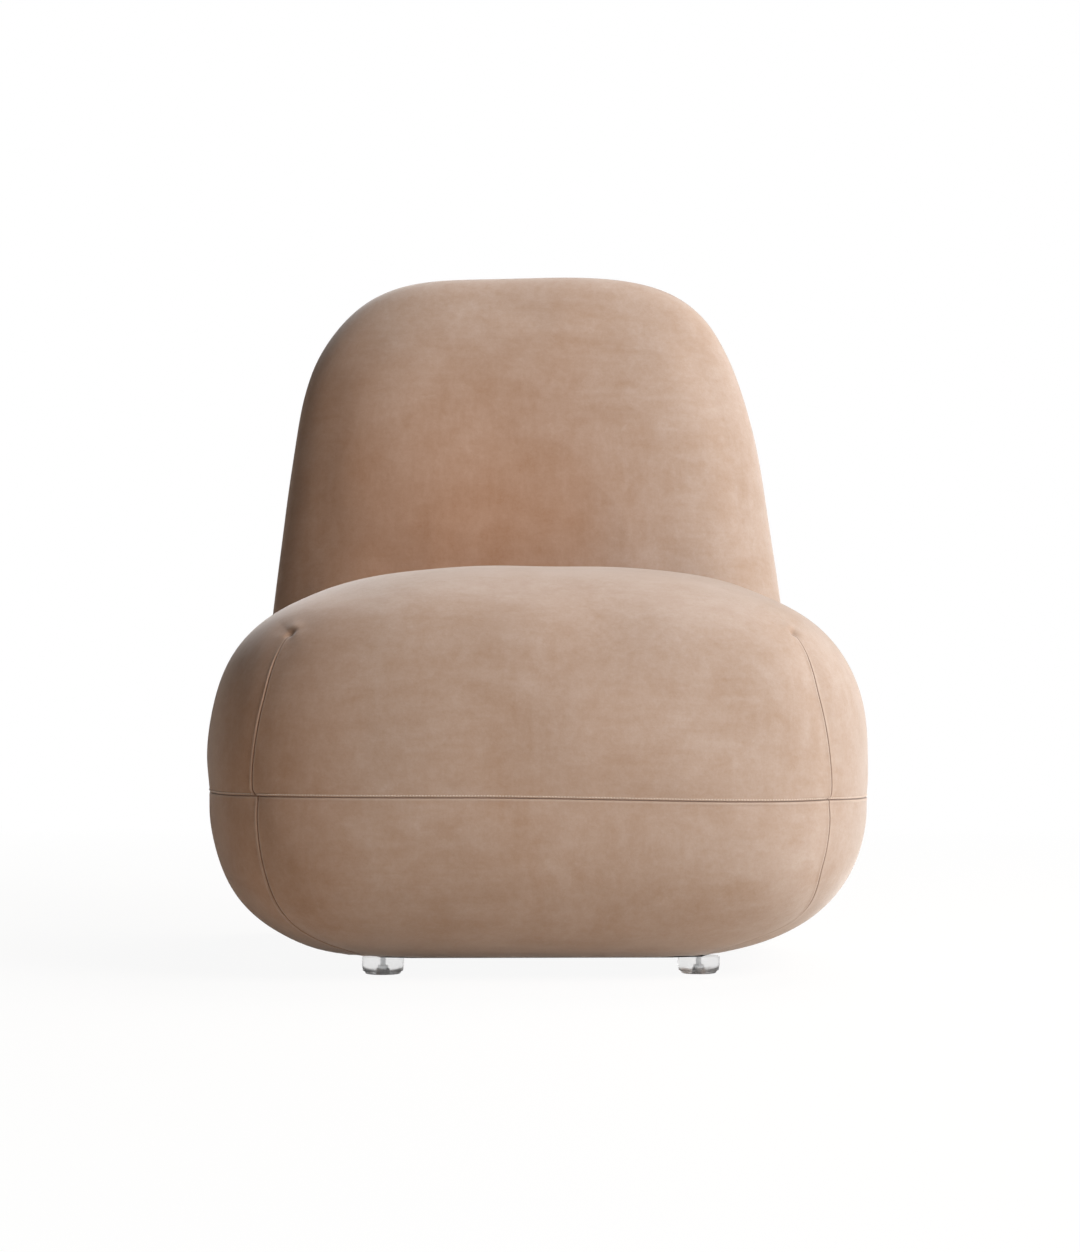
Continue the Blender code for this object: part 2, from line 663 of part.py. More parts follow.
def seat_frame():
    inner = BOX_HALF_WIDTH - PANEL - GAP
    high = (BOX_HALF_WIDTH, -BOX_NOSE + PANEL, BOX_TOP)
    board("seat_panel_front", (-BOX_HALF_WIDTH, -BOX_NOSE, BOX_LOW), high)
    point, normal = back_plane(REAR_PANEL_FRONT - GAP)
    for name, turn in (("left", -1), ("right", 1)):
        ends = sorted((turn * BOX_HALF_WIDTH, turn * (BOX_HALF_WIDTH - PANEL)))
        low = (ends[0], -BOX_NOSE + PANEL + GAP, BOX_LOW)
        bm = box_mesh(low, (ends[1], SEAT_REACH + OVERRUN, BOX_TOP))
        keep_side(bm, point, normal)
        toe = depth_at(REAR_PANEL_FRONT, REAR_LOW)
        keep_side(bm, (0, toe, REAR_LOW), (0, REAR_LOW - BOX_LOW, -SIDE_TOE))
        soften(mesh_object("seat_panel_" + name, bm, "plywood"), EDGE)
    bm = box_mesh(
        (-BOX_HALF_WIDTH, REAR_PANEL_FRONT, -SEAM_HEIGHT),
        (BOX_HALF_WIDTH, REAR_PANEL_FRONT + PANEL, along_lean(BOX_TOP) + OVERRUN),
    )
    bm.transform(TO_BACK)
    keep_side(bm, (0, 0, REAR_LOW), (0, 0, -1))
    keep_side(bm, (0, 0, BOX_TOP), (0, 0, 1))
    rear = mesh_object("seat_panel_rear", bm, "plywood")
    for tool in bolt_cutters:
        cut(rear, tool)
    level = BOX_TOP - CROSS_RAIL_DROP
    low = (-inner, -PANEL / 2, level - CROSS_RAIL_HEIGHT)
    board("seat_cross_rail", low, (inner, PANEL / 2, level))
    for name, turn in (("left", -1), ("right", 1)):
        block = board(
            "seat_block_front_" + name,
            (turn * BLOCK_X - BLOCK / 2, BLOCK_Y - BLOCK / 2, FRAME_LOW),
            (turn * BLOCK_X + BLOCK / 2, BLOCK_Y + BLOCK / 2, BLOCK_TOP),
        )
        cut(block, screw_cutters["front_" + name])
        rear = REAR_PANEL_FRONT - GAP
        bm = box_mesh(
            (turn * BLOCK_X - BLOCK / 2, rear - BLOCK, along_lean(REAR_LOW + BLOCK / 2)),
            (turn * BLOCK_X + BLOCK / 2, rear, along_lean(BLOCK_TOP)),
        )
        bm.transform(TO_BACK)
        soften(mesh_object("seat_block_rear_" + name, bm, "plywood"), EDGE)


def foot_centres():
    rear = depth_at((POST_FRONT + POST_REAR) / 2, FRAME_LOW)
    return {
        "front_left": (-GLIDE_X, BLOCK_Y),
        "front_right": (GLIDE_X, BLOCK_Y),
        "rear_left": (-GLIDE_X, rear),
        "rear_right": (GLIDE_X, rear),
    }


def glides():
    wide = GLIDE_DIAMETER / 2
    foot = GLIDE_FOOT_DIAMETER / 2
    bore = SCREW_DIAMETER / 2 + GAP
    recess = SCREW_HEAD_DIAMETER / 2 + GAP
    sink = SCREW_SINK + SCREW_HEAD_HEIGHT + GAP
    outward, upward = GLIDE_EDGE_SHARES
    body = [
        (bore, GLIDE_HEIGHT),
        (wide, GLIDE_HEIGHT),
        (wide, GLIDE_RIM),
        (foot + (wide - foot) * outward, GLIDE_RIM * upward),
        (foot, 0),
        (recess, 0),
        (recess, sink),
        (bore, sink),
        (bore, GLIDE_HEIGHT),
    ]
    head = SCREW_HEAD_DIAMETER / 2
    shank = SCREW_DIAMETER / 2
    low = SCREW_SINK
    screw = [
        (0, low + SCREW_LENGTH),
        (shank * SCREW_TIP_SHARE, low + SCREW_LENGTH - SCREW_DIAMETER / 2),
        (shank, low + SCREW_LENGTH - SCREW_DIAMETER),
        (shank, low + SCREW_HEAD_HEIGHT),
        (head, low + SCREW_HEAD_HEIGHT),
        (head, low),
        (0, low),
    ]
    for name, (x, y) in foot_centres().items():
        turned("glide_" + name, body, GLIDE_SIDES, "glide", chair, (x, y, 0))
        turned("glide_screw_" + name, screw, SCREW_SIDES, "steel", chair, (x, y, 0))


def hole_cutter(name, radius, length, sides, parent):
    """A cylinder along its own Z, to cut a hole with."""
    bm = bmesh.new()
    size = {"radius1": radius, "radius2": radius, "depth": length}
    bmesh.ops.create_cone(bm, cap_ends=True, segments=sides, **size)
    mesh = bpy.data.meshes.new(name)
    bm.to_mesh(mesh)
    bm.free()
    tool = bpy.data.objects.new(name, mesh)
    tool.parent = parent
    return add_cutter(tool)


def make_screw_cutters():
    made = {}
    radius = SCREW_DIAMETER / 2 + GAP
    length = SCREW_LENGTH + SCREW_SINK + OVERRUN
    for name, (x, y) in foot_centres().items():
        tool = hole_cutter("screw_hole_" + name, radius, length, SCREW_SIDES, chair)
        tool.location = (x, y, SCREW_LENGTH + SCREW_SINK + GAP - length / 2)
        made[name] = tool
    return made


def bolt_places():
    low = along_lean(BOARD_LOW)
    levels = (low + BOLT_EDGE, low + BOARD_HEIGHT - BOLT_EDGE)
    return [(turn * BOLT_X, level) for level in levels for turn in (-1, 1)]


def make_bolt_cutters():
    made = []
    radius = BOLT_DIAMETER / 2 + BOLT_CLEARANCE
    for number, (x, up) in enumerate(bolt_places()):
        tool = hole_cutter(f"bolt_hole_{number + 1}", radius, 4 * OVERRUN, BOLT_SIDES, lean)
        tool.location = (x, 0, up)
        tool.rotation_euler = (math.pi / 2, 0, 0)
        made.append(tool)
    return made


def bolts():
    """Each bolt's head is inside the seat box, and its end is flush in the mounting board."""
    shank = BOLT_DIAMETER / 2
    head = BOLT_HEAD_DIAMETER / 2
    start = REAR_PANEL_FRONT - GAP
    end = BOARD_SETBACK + BOARD_THICKNESS - GAP
    profile = [
        (0, BOLT_HEAD_HEIGHT),
        (head * BOLT_DOME_SHARE, BOLT_HEAD_HEIGHT),
        (head, BOLT_HEAD_HEIGHT / 2),
        (head, 0),
        (shank, 0),
        (shank, start - end),
        (0, start - end),
    ]
    for number, (x, up) in enumerate(bolt_places()):
        name = f"back_bolt_{number + 1}"
        turned(name, profile, BOLT_SIDES, "steel", lean, (x, start, up), (math.pi / 2, 0, 0))


def foot_blocks():
    centres = foot_centres()
    depth = POST_DEPTH * FOOT_BLOCK_DEPTH_SHARE
    for name in ("rear_left", "rear_right"):
        y = centres[name][1]
        x = math.copysign(BLOCK_X, centres[name][0])
        block = board(
            "back_block_" + name.split("_")[1],
            (x - BLOCK / 2, y - depth / 2, FRAME_LOW),
            (x + BLOCK / 2, y + depth / 2, FRAME_LOW + FOOT_BLOCK_HEIGHT),
        )
        cut(block, screw_cutters[name])


def back_straps():
    low = (POST_FRONT, along_lean(BOARD_LOW + BOARD_HEIGHT) + POST_KNEE_RISE)
    high = (POST_REAR - POST_TOP_DEPTH, POST_TOP)
    slope = Vector((high[0] - low[0], high[1] - low[1]))
    tilt = math.atan2(slope.x, slope.y)
    out = GAP + STRAP_THICKNESS / 2
    half = BOX_HALF_WIDTH - PANEL * (1 - STRAP_LAP_SHARE)
    for i in range(BACK_STRAPS):
        share = (i + 1 / 2) / BACK_STRAPS
        rearward = low[0] + slope.x * share - math.cos(tilt) * out
        up = low[1] + slope.y * share + math.sin(tilt) * out
        bm = bmesh.new()
        bmesh.ops.create_grid(bm, x_segments=2, y_segments=1, size=1)
        bmesh.ops.scale(bm, vec=(half, STRAP_WIDTH / 2, 1), verts=bm.verts)
        item = mesh_object(f"back_strap_{i + 1}", bm, "webbing", lean)
        item.location = (0, rearward, up)
        item.rotation_euler = (math.pi / 2 - tilt, 0, 0)
        shell = item.modifiers.new("strap", "SOLIDIFY")
        shell.thickness = STRAP_THICKNESS
        shell.offset = 0


def underside(side, run, inset):
    """Below zero where the seat's underside is flat."""
    rise = COVER_LOW - SEAM_HEIGHT
    stretch = np.where(run > 0, 1 + math.tan(LEAN) * rise / SEAT_REACH, 1)
    return seat_form(side, run / stretch, rise, inset)


def seat_dust_outline(half, nose, tail):
    """A rectangle seen from above, drawn in where the seat's underside rounds up, without idle points."""
    corners = np.array([(-half, nose), (half, nose), (half, tail), (-half, tail)])
    shares = np.arange(DUST_SIDE_STEPS)[:, None] / DUST_SIDE_STEPS
    sides = zip(corners, np.roll(corners, -1, axis=0))
    border = np.concatenate([start + (end - start) * shares for start, end in sides])
    room = np.linalg.norm(grow(border, underside, 0.0), axis=1) / np.linalg.norm(border, axis=1)
    outline = border * np.minimum(1, DUST_REACH_SHARE * room)[:, None]
    before = outline - np.roll(outline, 1, axis=0)
    after = np.roll(outline, -1, axis=0) - outline
    turn = np.abs(before[:, 0] * after[:, 1] - before[:, 1] * after[:, 0])
    return outline[turn > STRAIGHT_SHARE * half**2]


def plate_mesh(outline, low, high):
    """A flat plate between two heights, from a convex outline listed counterclockwise."""
    bm = bmesh.new()
    lower, upper = ([bm.verts.new((x, y, z)) for x, y in outline] for z in (low, high))
    bm.faces.new(lower[::-1])
    bm.faces.new(upper)
    for i in range(len(outline)):
        j = (i + 1) % len(outline)
        bm.faces.new((lower[i], lower[j], upper[j], upper[i]))
    return bm


def dust_covers():
    half = BOX_HALF_WIDTH - DUST_MARGIN
    outline = seat_dust_outline(half, -BOX_NOSE + DUST_MARGIN, depth_at(REAR_PANEL_FRONT, FRAME_LOW))
    plate = plate_mesh(outline, DUST_LOW, DUST_LOW + DUST_THICKNESS)
    cloth = mesh_object("seat_dust_cover", plate, "dust_cloth")
    for name in ("front_left", "front_right"):
        cut(cloth, screw_cutters[name])
    y = foot_centres()["rear_left"][1]
    depth = POST_DEPTH / 2
    cloth = mesh_object(
        "back_dust_cover",
        box_mesh((-half, y - depth, DUST_LOW), (half, y + depth, DUST_LOW + DUST_THICKNESS)),
        "dust_cloth",
    )
    for name in ("rear_left", "rear_right"):
        cut(cloth, screw_cutters[name])


clear_scene()
materials = make_materials()
chair_parts = collection("lounge_chair")
cutters = collection("cutters")

seat_cage = make_cage(seat_surface, True)
back_cage = make_cage(back_surface, False)
rearmost = back_surface(coordinates(back_cage))[:, 1].max()
foremost = seat_surface(coordinates(seat_cage))[:, 1].min()

chair = bpy.data.objects.new("chair", None)
chair.location = (0, -(rearmost + foremost) / 2, 0)
chair_parts.objects.link(chair)
lean = bpy.data.objects.new("lean", None)
lean.matrix_local = TO_BACK
lean.parent = chair
chair_parts.objects.link(lean)

screw_cutters = make_screw_cutters()
bolt_cutters = make_bolt_cutters()
seat_frame()
seat_straps()
seat_foam()
seat_covers()
back_frame()
foot_blocks()
back_straps()
back_foam()
back_covers()
bolts()
glides()
dust_covers()
bpy.context.view_layer.update()
print("chair centre", chair.location.y)
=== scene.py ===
import math

import bpy
import numpy as np
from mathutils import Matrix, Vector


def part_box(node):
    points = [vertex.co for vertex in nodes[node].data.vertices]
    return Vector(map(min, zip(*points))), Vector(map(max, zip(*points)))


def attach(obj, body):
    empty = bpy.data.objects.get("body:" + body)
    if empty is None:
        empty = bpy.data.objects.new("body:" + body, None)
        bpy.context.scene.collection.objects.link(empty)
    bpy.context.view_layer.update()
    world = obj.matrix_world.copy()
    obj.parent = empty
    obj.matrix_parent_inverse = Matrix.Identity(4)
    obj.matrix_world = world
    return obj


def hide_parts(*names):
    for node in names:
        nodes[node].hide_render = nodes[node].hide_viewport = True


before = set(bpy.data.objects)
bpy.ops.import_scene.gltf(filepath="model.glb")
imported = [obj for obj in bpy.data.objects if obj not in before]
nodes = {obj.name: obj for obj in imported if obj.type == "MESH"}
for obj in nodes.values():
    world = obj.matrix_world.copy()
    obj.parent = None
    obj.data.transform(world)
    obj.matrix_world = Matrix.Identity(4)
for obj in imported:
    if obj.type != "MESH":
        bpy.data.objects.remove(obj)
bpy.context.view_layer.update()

print("frame loaded")

# All lengths are in metres, in the frame's own axes: the seat's nose points to -Y
lean = math.radians(8)
halfGap = 0.00015  # what each cushion leaves free where they meet

seat = {
    "halfWidth": 0.350,
    "reach": 0.290,  # from the middle to the nose
    "crown": 0.426,
    "seam": 0.1916,
    "widest": 0.212,
    "under": 0.0194,
    "bellySpare": 0.014,  # what the flat underside cuts off the round belly
    "tailSpare": 0.004,
    "planPower": 3.5,
    "bellyPlanPower": 4.4,
    "crownPower": 2.95,
    "bellyPower": 2.9,
    "tailPower": 6.0,
}
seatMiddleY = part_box("seat_cover_front")[0].y + seat["reach"]

back = {
    "rise": 0.446,
    "drop": 0.400,
    "middle": 0.1844,
    "halfWidth": 0.310,
    "front": 0.1155,
    "rear": 0.1125,
    "seamSetback": 0.050,
    "splay": math.radians(6.6),
    "outlinePower": 4.3,
    "pillowPower": 2.8,
    "pressedPower": 4.5,
}
backRearward = back["rear"] + back["seamSetback"]  # of the back's middle, from the plane where seat and back meet


# From 0 at low to 1 at high, along an S
def smooth(value, low, high):
    t = np.clip((value - low) / (high - low), 0, 1)
    return t * t * (3 - 2 * t)


# Where the ray from the middle through each cage point leaves a form, by halving the span that holds it
def pushOut(cage, form, farthest=2.0, halvings=40):
    near = np.zeros(cage.shape[:-1])
    far = np.full(cage.shape[:-1], farthest)
    for _ in range(halvings):
        middle = (near + far) / 2
        inside = form(cage * middle[..., None]) < 0
        near = np.where(inside, middle, near)
        far = np.where(inside, far, middle)
    return cage * near[..., None]


# Superellipse in plan, drawn in upward and downward by another, squarer at the tail and under the belly.
# It is below zero inside.
def seatForm(point):
    side, run, rise = point[..., 0], point[..., 1], point[..., 2]
    climb = rise - (seat["widest"] - seat["seam"])
    crown = seat["crown"] - seat["widest"]
    belly = seat["widest"] - seat["under"] + seat["bellySpare"]
    level = np.abs(climb) / np.where(climb > 0, crown, belly)
    along = np.abs(run) / (seat["reach"] + np.where(run > 0, seat["tailSpare"], 0))
    across = np.abs(side) / seat["halfWidth"]
    low = np.where(climb < 0, np.clip(level, 0, 1) ** 2, 0)
    tail = np.where(run > 0, np.clip(along, 0, 1) ** 2, 0)
    planPower = seat["planPower"] + (seat["bellyPlanPower"] - seat["planPower"]) * low
    planPower = planPower + (seat["tailPower"] - planPower) * tail
    risePower = np.where(climb > 0, seat["crownPower"], seat["bellyPower"])
    risePower = risePower + (seat["tailPower"] - risePower) * tail
    plan = (across**planPower + along**planPower) ** (1 / planPower)
    return plan**risePower + level**risePower - 1


# The front corner seams stand outward of the cage's corners. Left and right, as shares of the cage: above the level
# seam, how much of that the hook beside the seam takes back, at the dart's tip, below the seam and beside the hem
corner = {
    "upper": (0.060, 0.066),
    "hook": (0.35, 0.50),
    "tip": (0.030, 0.050),
    "lower": (0.020, 0.050),
    "hem": (0.020, 0.100),
    "hookHeight": 0.035,
    "tipDrop": 0.04,
    "sag": 0.008,  # how much the level seam hangs below the cage's middle
    "sagRight": 0.032,
}


# Moves cage points near the front corners rearward, the dart tips and the level seam downward, fading away from them
def shiftCorners(cage, upper):
    side, run, rise = cage[..., 0], cage[..., 1], cage[..., 2]
    near = smooth(np.abs(side), 0.4, 1) * smooth(-run, 0.4, 1)
    of = {key: np.where(side < 0, *pair) for key, pair in corner.items() if isinstance(pair, tuple)}
    hook = 1 - of["hook"] * (1 - smooth(rise, 0, corner["hookHeight"]))
    above = of["upper"] * (1 - smooth(rise, 0, 0.6)) * hook + of["tip"] * smooth(rise, 0.5, 1)
    below = of["lower"] + of["hem"] * smooth(-rise, 0.5, 1)
    sag = corner["sag"] + corner["sagRight"] * smooth(side, -0.25, 0.8)
    moved = cage.copy()
    moved[..., 1] += near * np.where(upper, above, below)
    moved[..., 2] -= corner["tipDrop"] * near * smooth(rise, 0.6, 1) + sag * (1 - smooth(np.abs(rise), 0, 0.5))
    return moved


# Use has pushed the stuffing to the left: there the belly and the back's shoulder stand out by some millimetres
settled = {
    "seatSide": 0.0032,
    "bellyOut": 0.0008,
    "bellyDown": 0.0064,
    "mostOfSpare": 0.85,  # how much of its height over the underside a point may go down
    "backSide": 0.0035,
    "shoulder": 0.0085,
    "shoulderAt": 0.675,
    "shoulderSpread": 0.085,
}


# Moves the seat's left side outward by an S across it, and its belly also down by one across and one in height
def settleSeat(point):
    low = smooth(-point[..., 0], 0.12, 0.26) * (1 - smooth(point[..., 2], 0.06, 0.16))
    spare = point[..., 2] - seat["under"]
    point[..., 2] -= np.minimum(settled["bellyDown"] * low, settled["mostOfSpare"] * spare)
    point[..., 0] -= settled["seatSide"] * smooth(-point[..., 0], 0.10, 0.30) + settled["bellyOut"] * low
    return point


# Moves the back's left side outward by an S across it, and more at the shoulder by a bell curve in height
def settleBack(point):
    bump = np.exp(-(((point[..., 2] - settled["shoulderAt"]) / settled["shoulderSpread"]) ** 2))
    point[..., 0] -= smooth(-point[..., 0], 0.05, 0.20) * (settled["backSide"] + settled["shoulder"] * bump)
    return point


# The seat's surface: the form, its tail leant and pressed flat against the back, its underside flat
def seatSurface(cage, upper=None):
    cage = shiftCorners(cage, cage[..., 2] > 0 if upper is None else upper)
    lift = np.where(cage[..., 2] > 0, seat["crown"] - seat["seam"], seat["seam"] - seat["under"])
    size = np.stack([np.full_like(lift, seat["halfWidth"]), np.full_like(lift, seat["reach"]), lift], -1)
    point = pushOut(cage * size, seatForm)
    slope = math.tan(lean) * point[..., 2]
    point[..., 1] += slope * np.clip(point[..., 1] / seat["reach"], 0, 1)
    point[..., 1] = np.minimum(point[..., 1], seat["reach"] + slope - halfGap / math.cos(lean))
    point[..., 2] = np.maximum(point[..., 2] + seat["seam"], seat["under"])
    point[..., 1] += seatMiddleY
    return settleSeat(point)


# Splayed superellipse seen from the front, pillowed front and rear, and pressed flatter where the seat
# stands against it. Its own axes are across, up the lean and rearward. It is below zero inside.
def backForm(point):
    side, up, rearward = point[..., 0], point[..., 1], point[..., 2]
    across = np.abs(side) / (back["halfWidth"] - math.tan(back["splay"]) * up)
    along = np.abs(up) / np.where(up > 0, back["rise"], back["drop"])
    power = back["outlinePower"]
    outline = (across**power + along**power) ** (1 / power)
    depth = rearward + back["seamSetback"]
    thick = np.abs(depth) / np.where(depth < 0, back["front"], back["rear"])
    pressed = np.where((depth < 0) & (up < 0), smooth(along, 0, 1), 0)
    pillow = back["pillowPower"] + (back["pressedPower"] - back["pillowPower"]) * pressed
    return outline**pillow + thick**pillow - 1


# Turns the back's own axes into the chair's, about the line where seat and back meet
def leanBack(side, rise, rearward):
    y = rearward * math.cos(lean) + rise * math.sin(lean) + seat["reach"] + seatMiddleY
    z = rise * math.cos(lean) - rearward * math.sin(lean) + seat["seam"]
    return np.stack([side, y, z], -1)


# The back's surface: the form leant back, flat against the seat and flat underneath
def backSurface(cage):
    up = np.where(cage[..., 1] > 0, back["rise"], back["drop"])
    deep = np.where(cage[..., 2] > 0, back["rear"] - back["seamSetback"], back["front"] + back["seamSetback"])
    point = pushOut(cage * np.stack([np.full_like(up, back["halfWidth"]), up, deep], -1), backForm)
    rearward = np.maximum(point[..., 2] + backRearward, halfGap)
    point = leanBack(point[..., 0], point[..., 1] + back["middle"], rearward)
    point[..., 2] = np.maximum(point[..., 2], seat["under"])
    return settleBack(point)


# Distance behind the leaning plane in which seat and back meet
def behindMeeting(point):
    run, rise = point[..., 1] - seat["reach"] - seatMiddleY, point[..., 2] - seat["seam"]
    return run * math.cos(lean) - rise * math.sin(lean)


# How freely the leather may stand out: not at all where it is pressed against the other cushion or stapled below
def freedom(point):
    clear = smooth(np.abs(behindMeeting(point)), 0.0004, 0.014)
    return np.maximum(clear, smooth(point[..., 2], 0.433, 0.463)) * smooth(point[..., 2] - seat["under"], 0.0002, 0.01)


# Lines of a cage face from -1 to 1, or from 0 to 1. They crowd together beside a seam, at these distances
seamSteps = np.array([0, 0.0001, 0.0004, 0.0008, 0.0013, 0.0019, 0.0026, 0.0034, 0.0045, 0.006, 0.0085, 0.012])


def linesAcross(count, halfLength):
    crowd = seamSteps / halfLength
    inner = np.linspace(-1 + crowd[-1], 1 - crowd[-1], count)
    return np.concatenate([-1 + crowd[:-1], inner, (1 - crowd[:-1])[::-1]])


def linesFrom(count, length):
    crowd = seamSteps / length
    return np.concatenate([crowd[:-1], np.linspace(crowd[-1], 1, count)])


# Each face of the cage: its two running axes and its fixed one, and where it stands. The back's cage leans back
# with its axes: there bottom is the front, top is the rear, front is the lower edge and rear is the upper edge
cageFaces = {
    "bottom": (0, 1, 2, -1),
    "top": (0, 1, 2, 1),
    "front": (0, 2, 1, -1),
    "rear": (0, 2, 1, 1),
    "left": (1, 2, 0, -1),
    "right": (1, 2, 0, 1),
}


# Cage points at the crossings of two sets of lines on a face
def cageGrid(face, first, second):
    one, two, fixed, stand = cageFaces[face]
    a, b = np.meshgrid(first, second, indexing="ij")
    grid = np.empty((*a.shape, 3))
    grid[..., one] = a
    grid[..., two] = b
    grid[..., fixed] = stand
    return grid


# Fills a mesh from points and arrays of faces
def fillMesh(name, points, faceSets):
    mesh = bpy.data.meshes.new(name)
    corners = np.concatenate([faces.ravel() for faces in faceSets])
    totals = np.concatenate([np.full(len(faces), faces.shape[1]) for faces in faceSets])
    starts = np.concatenate([[0], np.cumsum(totals)[:-1]])
    mesh.vertices.add(len(points))
    mesh.vertices.foreach_set("co", points.astype(np.float32).ravel())
    mesh.loops.add(len(corners))
    mesh.loops.foreach_set("vertex_index", corners.astype(np.int32))
    mesh.polygons.add(len(totals))
    mesh.polygons.foreach_set("loop_start", starts.astype(np.int32))
    mesh.update(calc_edges=True)
    mesh.shade_smooth()
    return mesh


# An object in the scene for a mesh, a lamp or a camera
def addObject(name, data):
    made = bpy.data.objects.new(name, data)
    bpy.context.scene.collection.objects.link(made)
    return made


# A piece of the chair, with its material and the nodes that it stands for
def addPiece(name, mesh, material, slot, *replaced):
    piece = addObject(name, mesh)
    mesh.materials.append(material)
    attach(piece, "root")
    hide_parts(*replaced)
    return piece


# Points or normals of a mesh, as rows of three
def readVectors(items, key):
    flat = np.empty(len(items) * 3, np.float32)
    items.foreach_get(key, flat)
    return flat.reshape(-1, 3).astype(float)


def readPoints(mesh):
    return readVectors(mesh.vertices, "co")


def readNormals(mesh):
    return readVectors(mesh.vertex_normals, "vector")


# Quads of a grid of vertex numbers, turned so that they face away from the middle
def gridQuads(index, points, middle):
    quads = np.stack([index[:-1, :-1], index[1:, :-1], index[1:, 1:], index[:-1, 1:]], -1).reshape(-1, 4)
    corner = points[quads]
    normal = np.cross(corner[:, 2] - corner[:, 0], corner[:, 3] - corner[:, 1])
    facing = np.einsum("ij,ij->i", normal, corner.mean(1) - middle).sum()
    return quads if facing > 0 else quads[:, ::-1]


# Of rows that are the same to a millionth, where the first one stands, and for each row which of those it is
def distinctRows(rows):
    key = np.round(rows * 1e6).astype(np.int64)
    _, first, inverse = np.unique(key, axis=0, return_index=True, return_inverse=True)
    return first, inverse.ravel()


# Joins grids into one sheet: they share the points that have the same cage place and the same mark
def joinGrids(cages, marks):
    flat = np.concatenate([cage.reshape(-1, 3) for cage in cages])
    mark = np.concatenate([number.ravel() for number in marks])
    first, inverse = distinctRows(np.column_stack([flat, mark]))
    ends = np.cumsum([cage.shape[0] * cage.shape[1] for cage in cages])
    starts = np.concatenate([[0], ends[:-1]])
    index = [inverse[a:b].reshape(cage.shape[:2]) for a, b, cage in zip(starts, ends, cages)]
    return flat[first], first, index


# Length along a grid's lines from where they start, summed from point to point
def runAlong(point, axis):
    step = np.linalg.norm(np.diff(point, axis=axis), axis=-1)
    zero = np.zeros_like(np.take(step, [0], axis=axis))
    return np.concatenate([zero, np.cumsum(step, axis=axis)], axis=axis)


# Distance from each point of a grid to the nearest of a few others
def toNearest(points, others):
    return np.linalg.norm(points[:, :, None] - others, axis=-1).min(-1)


# Rows divided by their lengths
def unit(rows):
    return rows / np.linalg.norm(rows, axis=1, keepdims=True)


# Slow unevenness of stuffed leather: a sum of plane waves with seeded directions
def unevenness(point, seed, shortest, longest, count=28):
    random = np.random.default_rng(seed)
    direction = unit(random.normal(size=(count, 3)))
    wave = 2 * np.pi * direction / random.uniform(shortest, longest, (count, 1))
    phase = random.uniform(0, 2 * np.pi, count)
    return np.sin(point @ wave.T + phase).sum(-1) / math.sqrt(count)


# The mean of a value over the points that share an edge with each point
def meanOfNeighbours(mesh, value):
    ends = np.empty(len(mesh.edges) * 2, np.int32)
    mesh.edges.foreach_get("vertices", ends)
    one, other = ends.reshape(-1, 2).T
    total = np.bincount(one, value[other], len(value)) + np.bincount(other, value[one], len(value))
    return total / np.bincount(ends, minlength=len(value))


# Cloth: the whole cushion on an even cage is blown up a little, held at its seams and where it is pressed.
# Only what swells outward counts, and it is evened over its neighbours
swelling = {
    "lines": 57,
    "pressure": 4.0,
    "stiffness": 12.0,
    "bending": 0.4,
    "frames": 20,
    "cap": 0.0045,
    "evened": 10,  # times
}


# Where the points of a skin are after the simulation, with each held by its weight
def blowUp(name, mesh, weight):
    skin = addObject(name, mesh)
    group = skin.vertex_groups.new(name="held")
    for share in (0.25, 0.5, 0.75, 1.0):
        group.add(np.flatnonzero(np.abs(weight - share) <= 0.125).tolist(), share, "REPLACE")
    cloth = skin.modifiers.new("cloth", "CLOTH").settings
    cloth.vertex_group_mass = "held"
    cloth.use_pressure = True
    cloth.uniform_pressure_force = swelling["pressure"]
    for kind in ("tension", "compression", "shear"):
        setattr(cloth, kind + "_stiffness", swelling["stiffness"])
    cloth.bending_stiffness = swelling["bending"]
    cloth.effector_weights.gravity = 0
    for number in range(1, swelling["frames"] + 1):
        bpy.context.scene.frame_set(number)
    points = readPoints(skin.evaluated_get(bpy.context.evaluated_depsgraph_get()).data)
    bpy.data.objects.remove(skin)
    bpy.context.scene.frame_set(1)
    return points


# How far each point of the faces' even grids swells out
def swell(name, surface, held, middle):
    lines = np.linspace(-1, 1, swelling["lines"])
    cages = [cageGrid(face, lines, lines) for face in cageFaces]
    cage, _, index = joinGrids(cages, [np.zeros(grid.shape[:2]) for grid in cages])
    start = surface(cage)
    shift = np.zeros_like(start)
    mesh = fillMesh(name, start, [gridQuads(part, start, middle) for part in index])
    weight, normal = held(cage, start), readNormals(mesh)
    outward = np.clip(((blowUp(name, mesh, weight) - start) * normal).sum(1), 0, None)
    lift = swelling["cap"] * np.tanh(outward / swelling["cap"])
    free = smooth(1 - weight, 0.0, 0.5)
    for _ in range(swelling["evened"]):
        lift = free * (lift + meanOfNeighbours(mesh, lift)) / 2
    shift = normal * lift[:, None]
    bpy.data.meshes.remove(mesh)
    most = [round(float(swollen.max()) * 1000, 2) for swollen in (outward, lift)]
    print(name, "swells by", *most, "mm before and after evening")
    return {face: shift[part] for face, part in zip(cageFaces, index)}


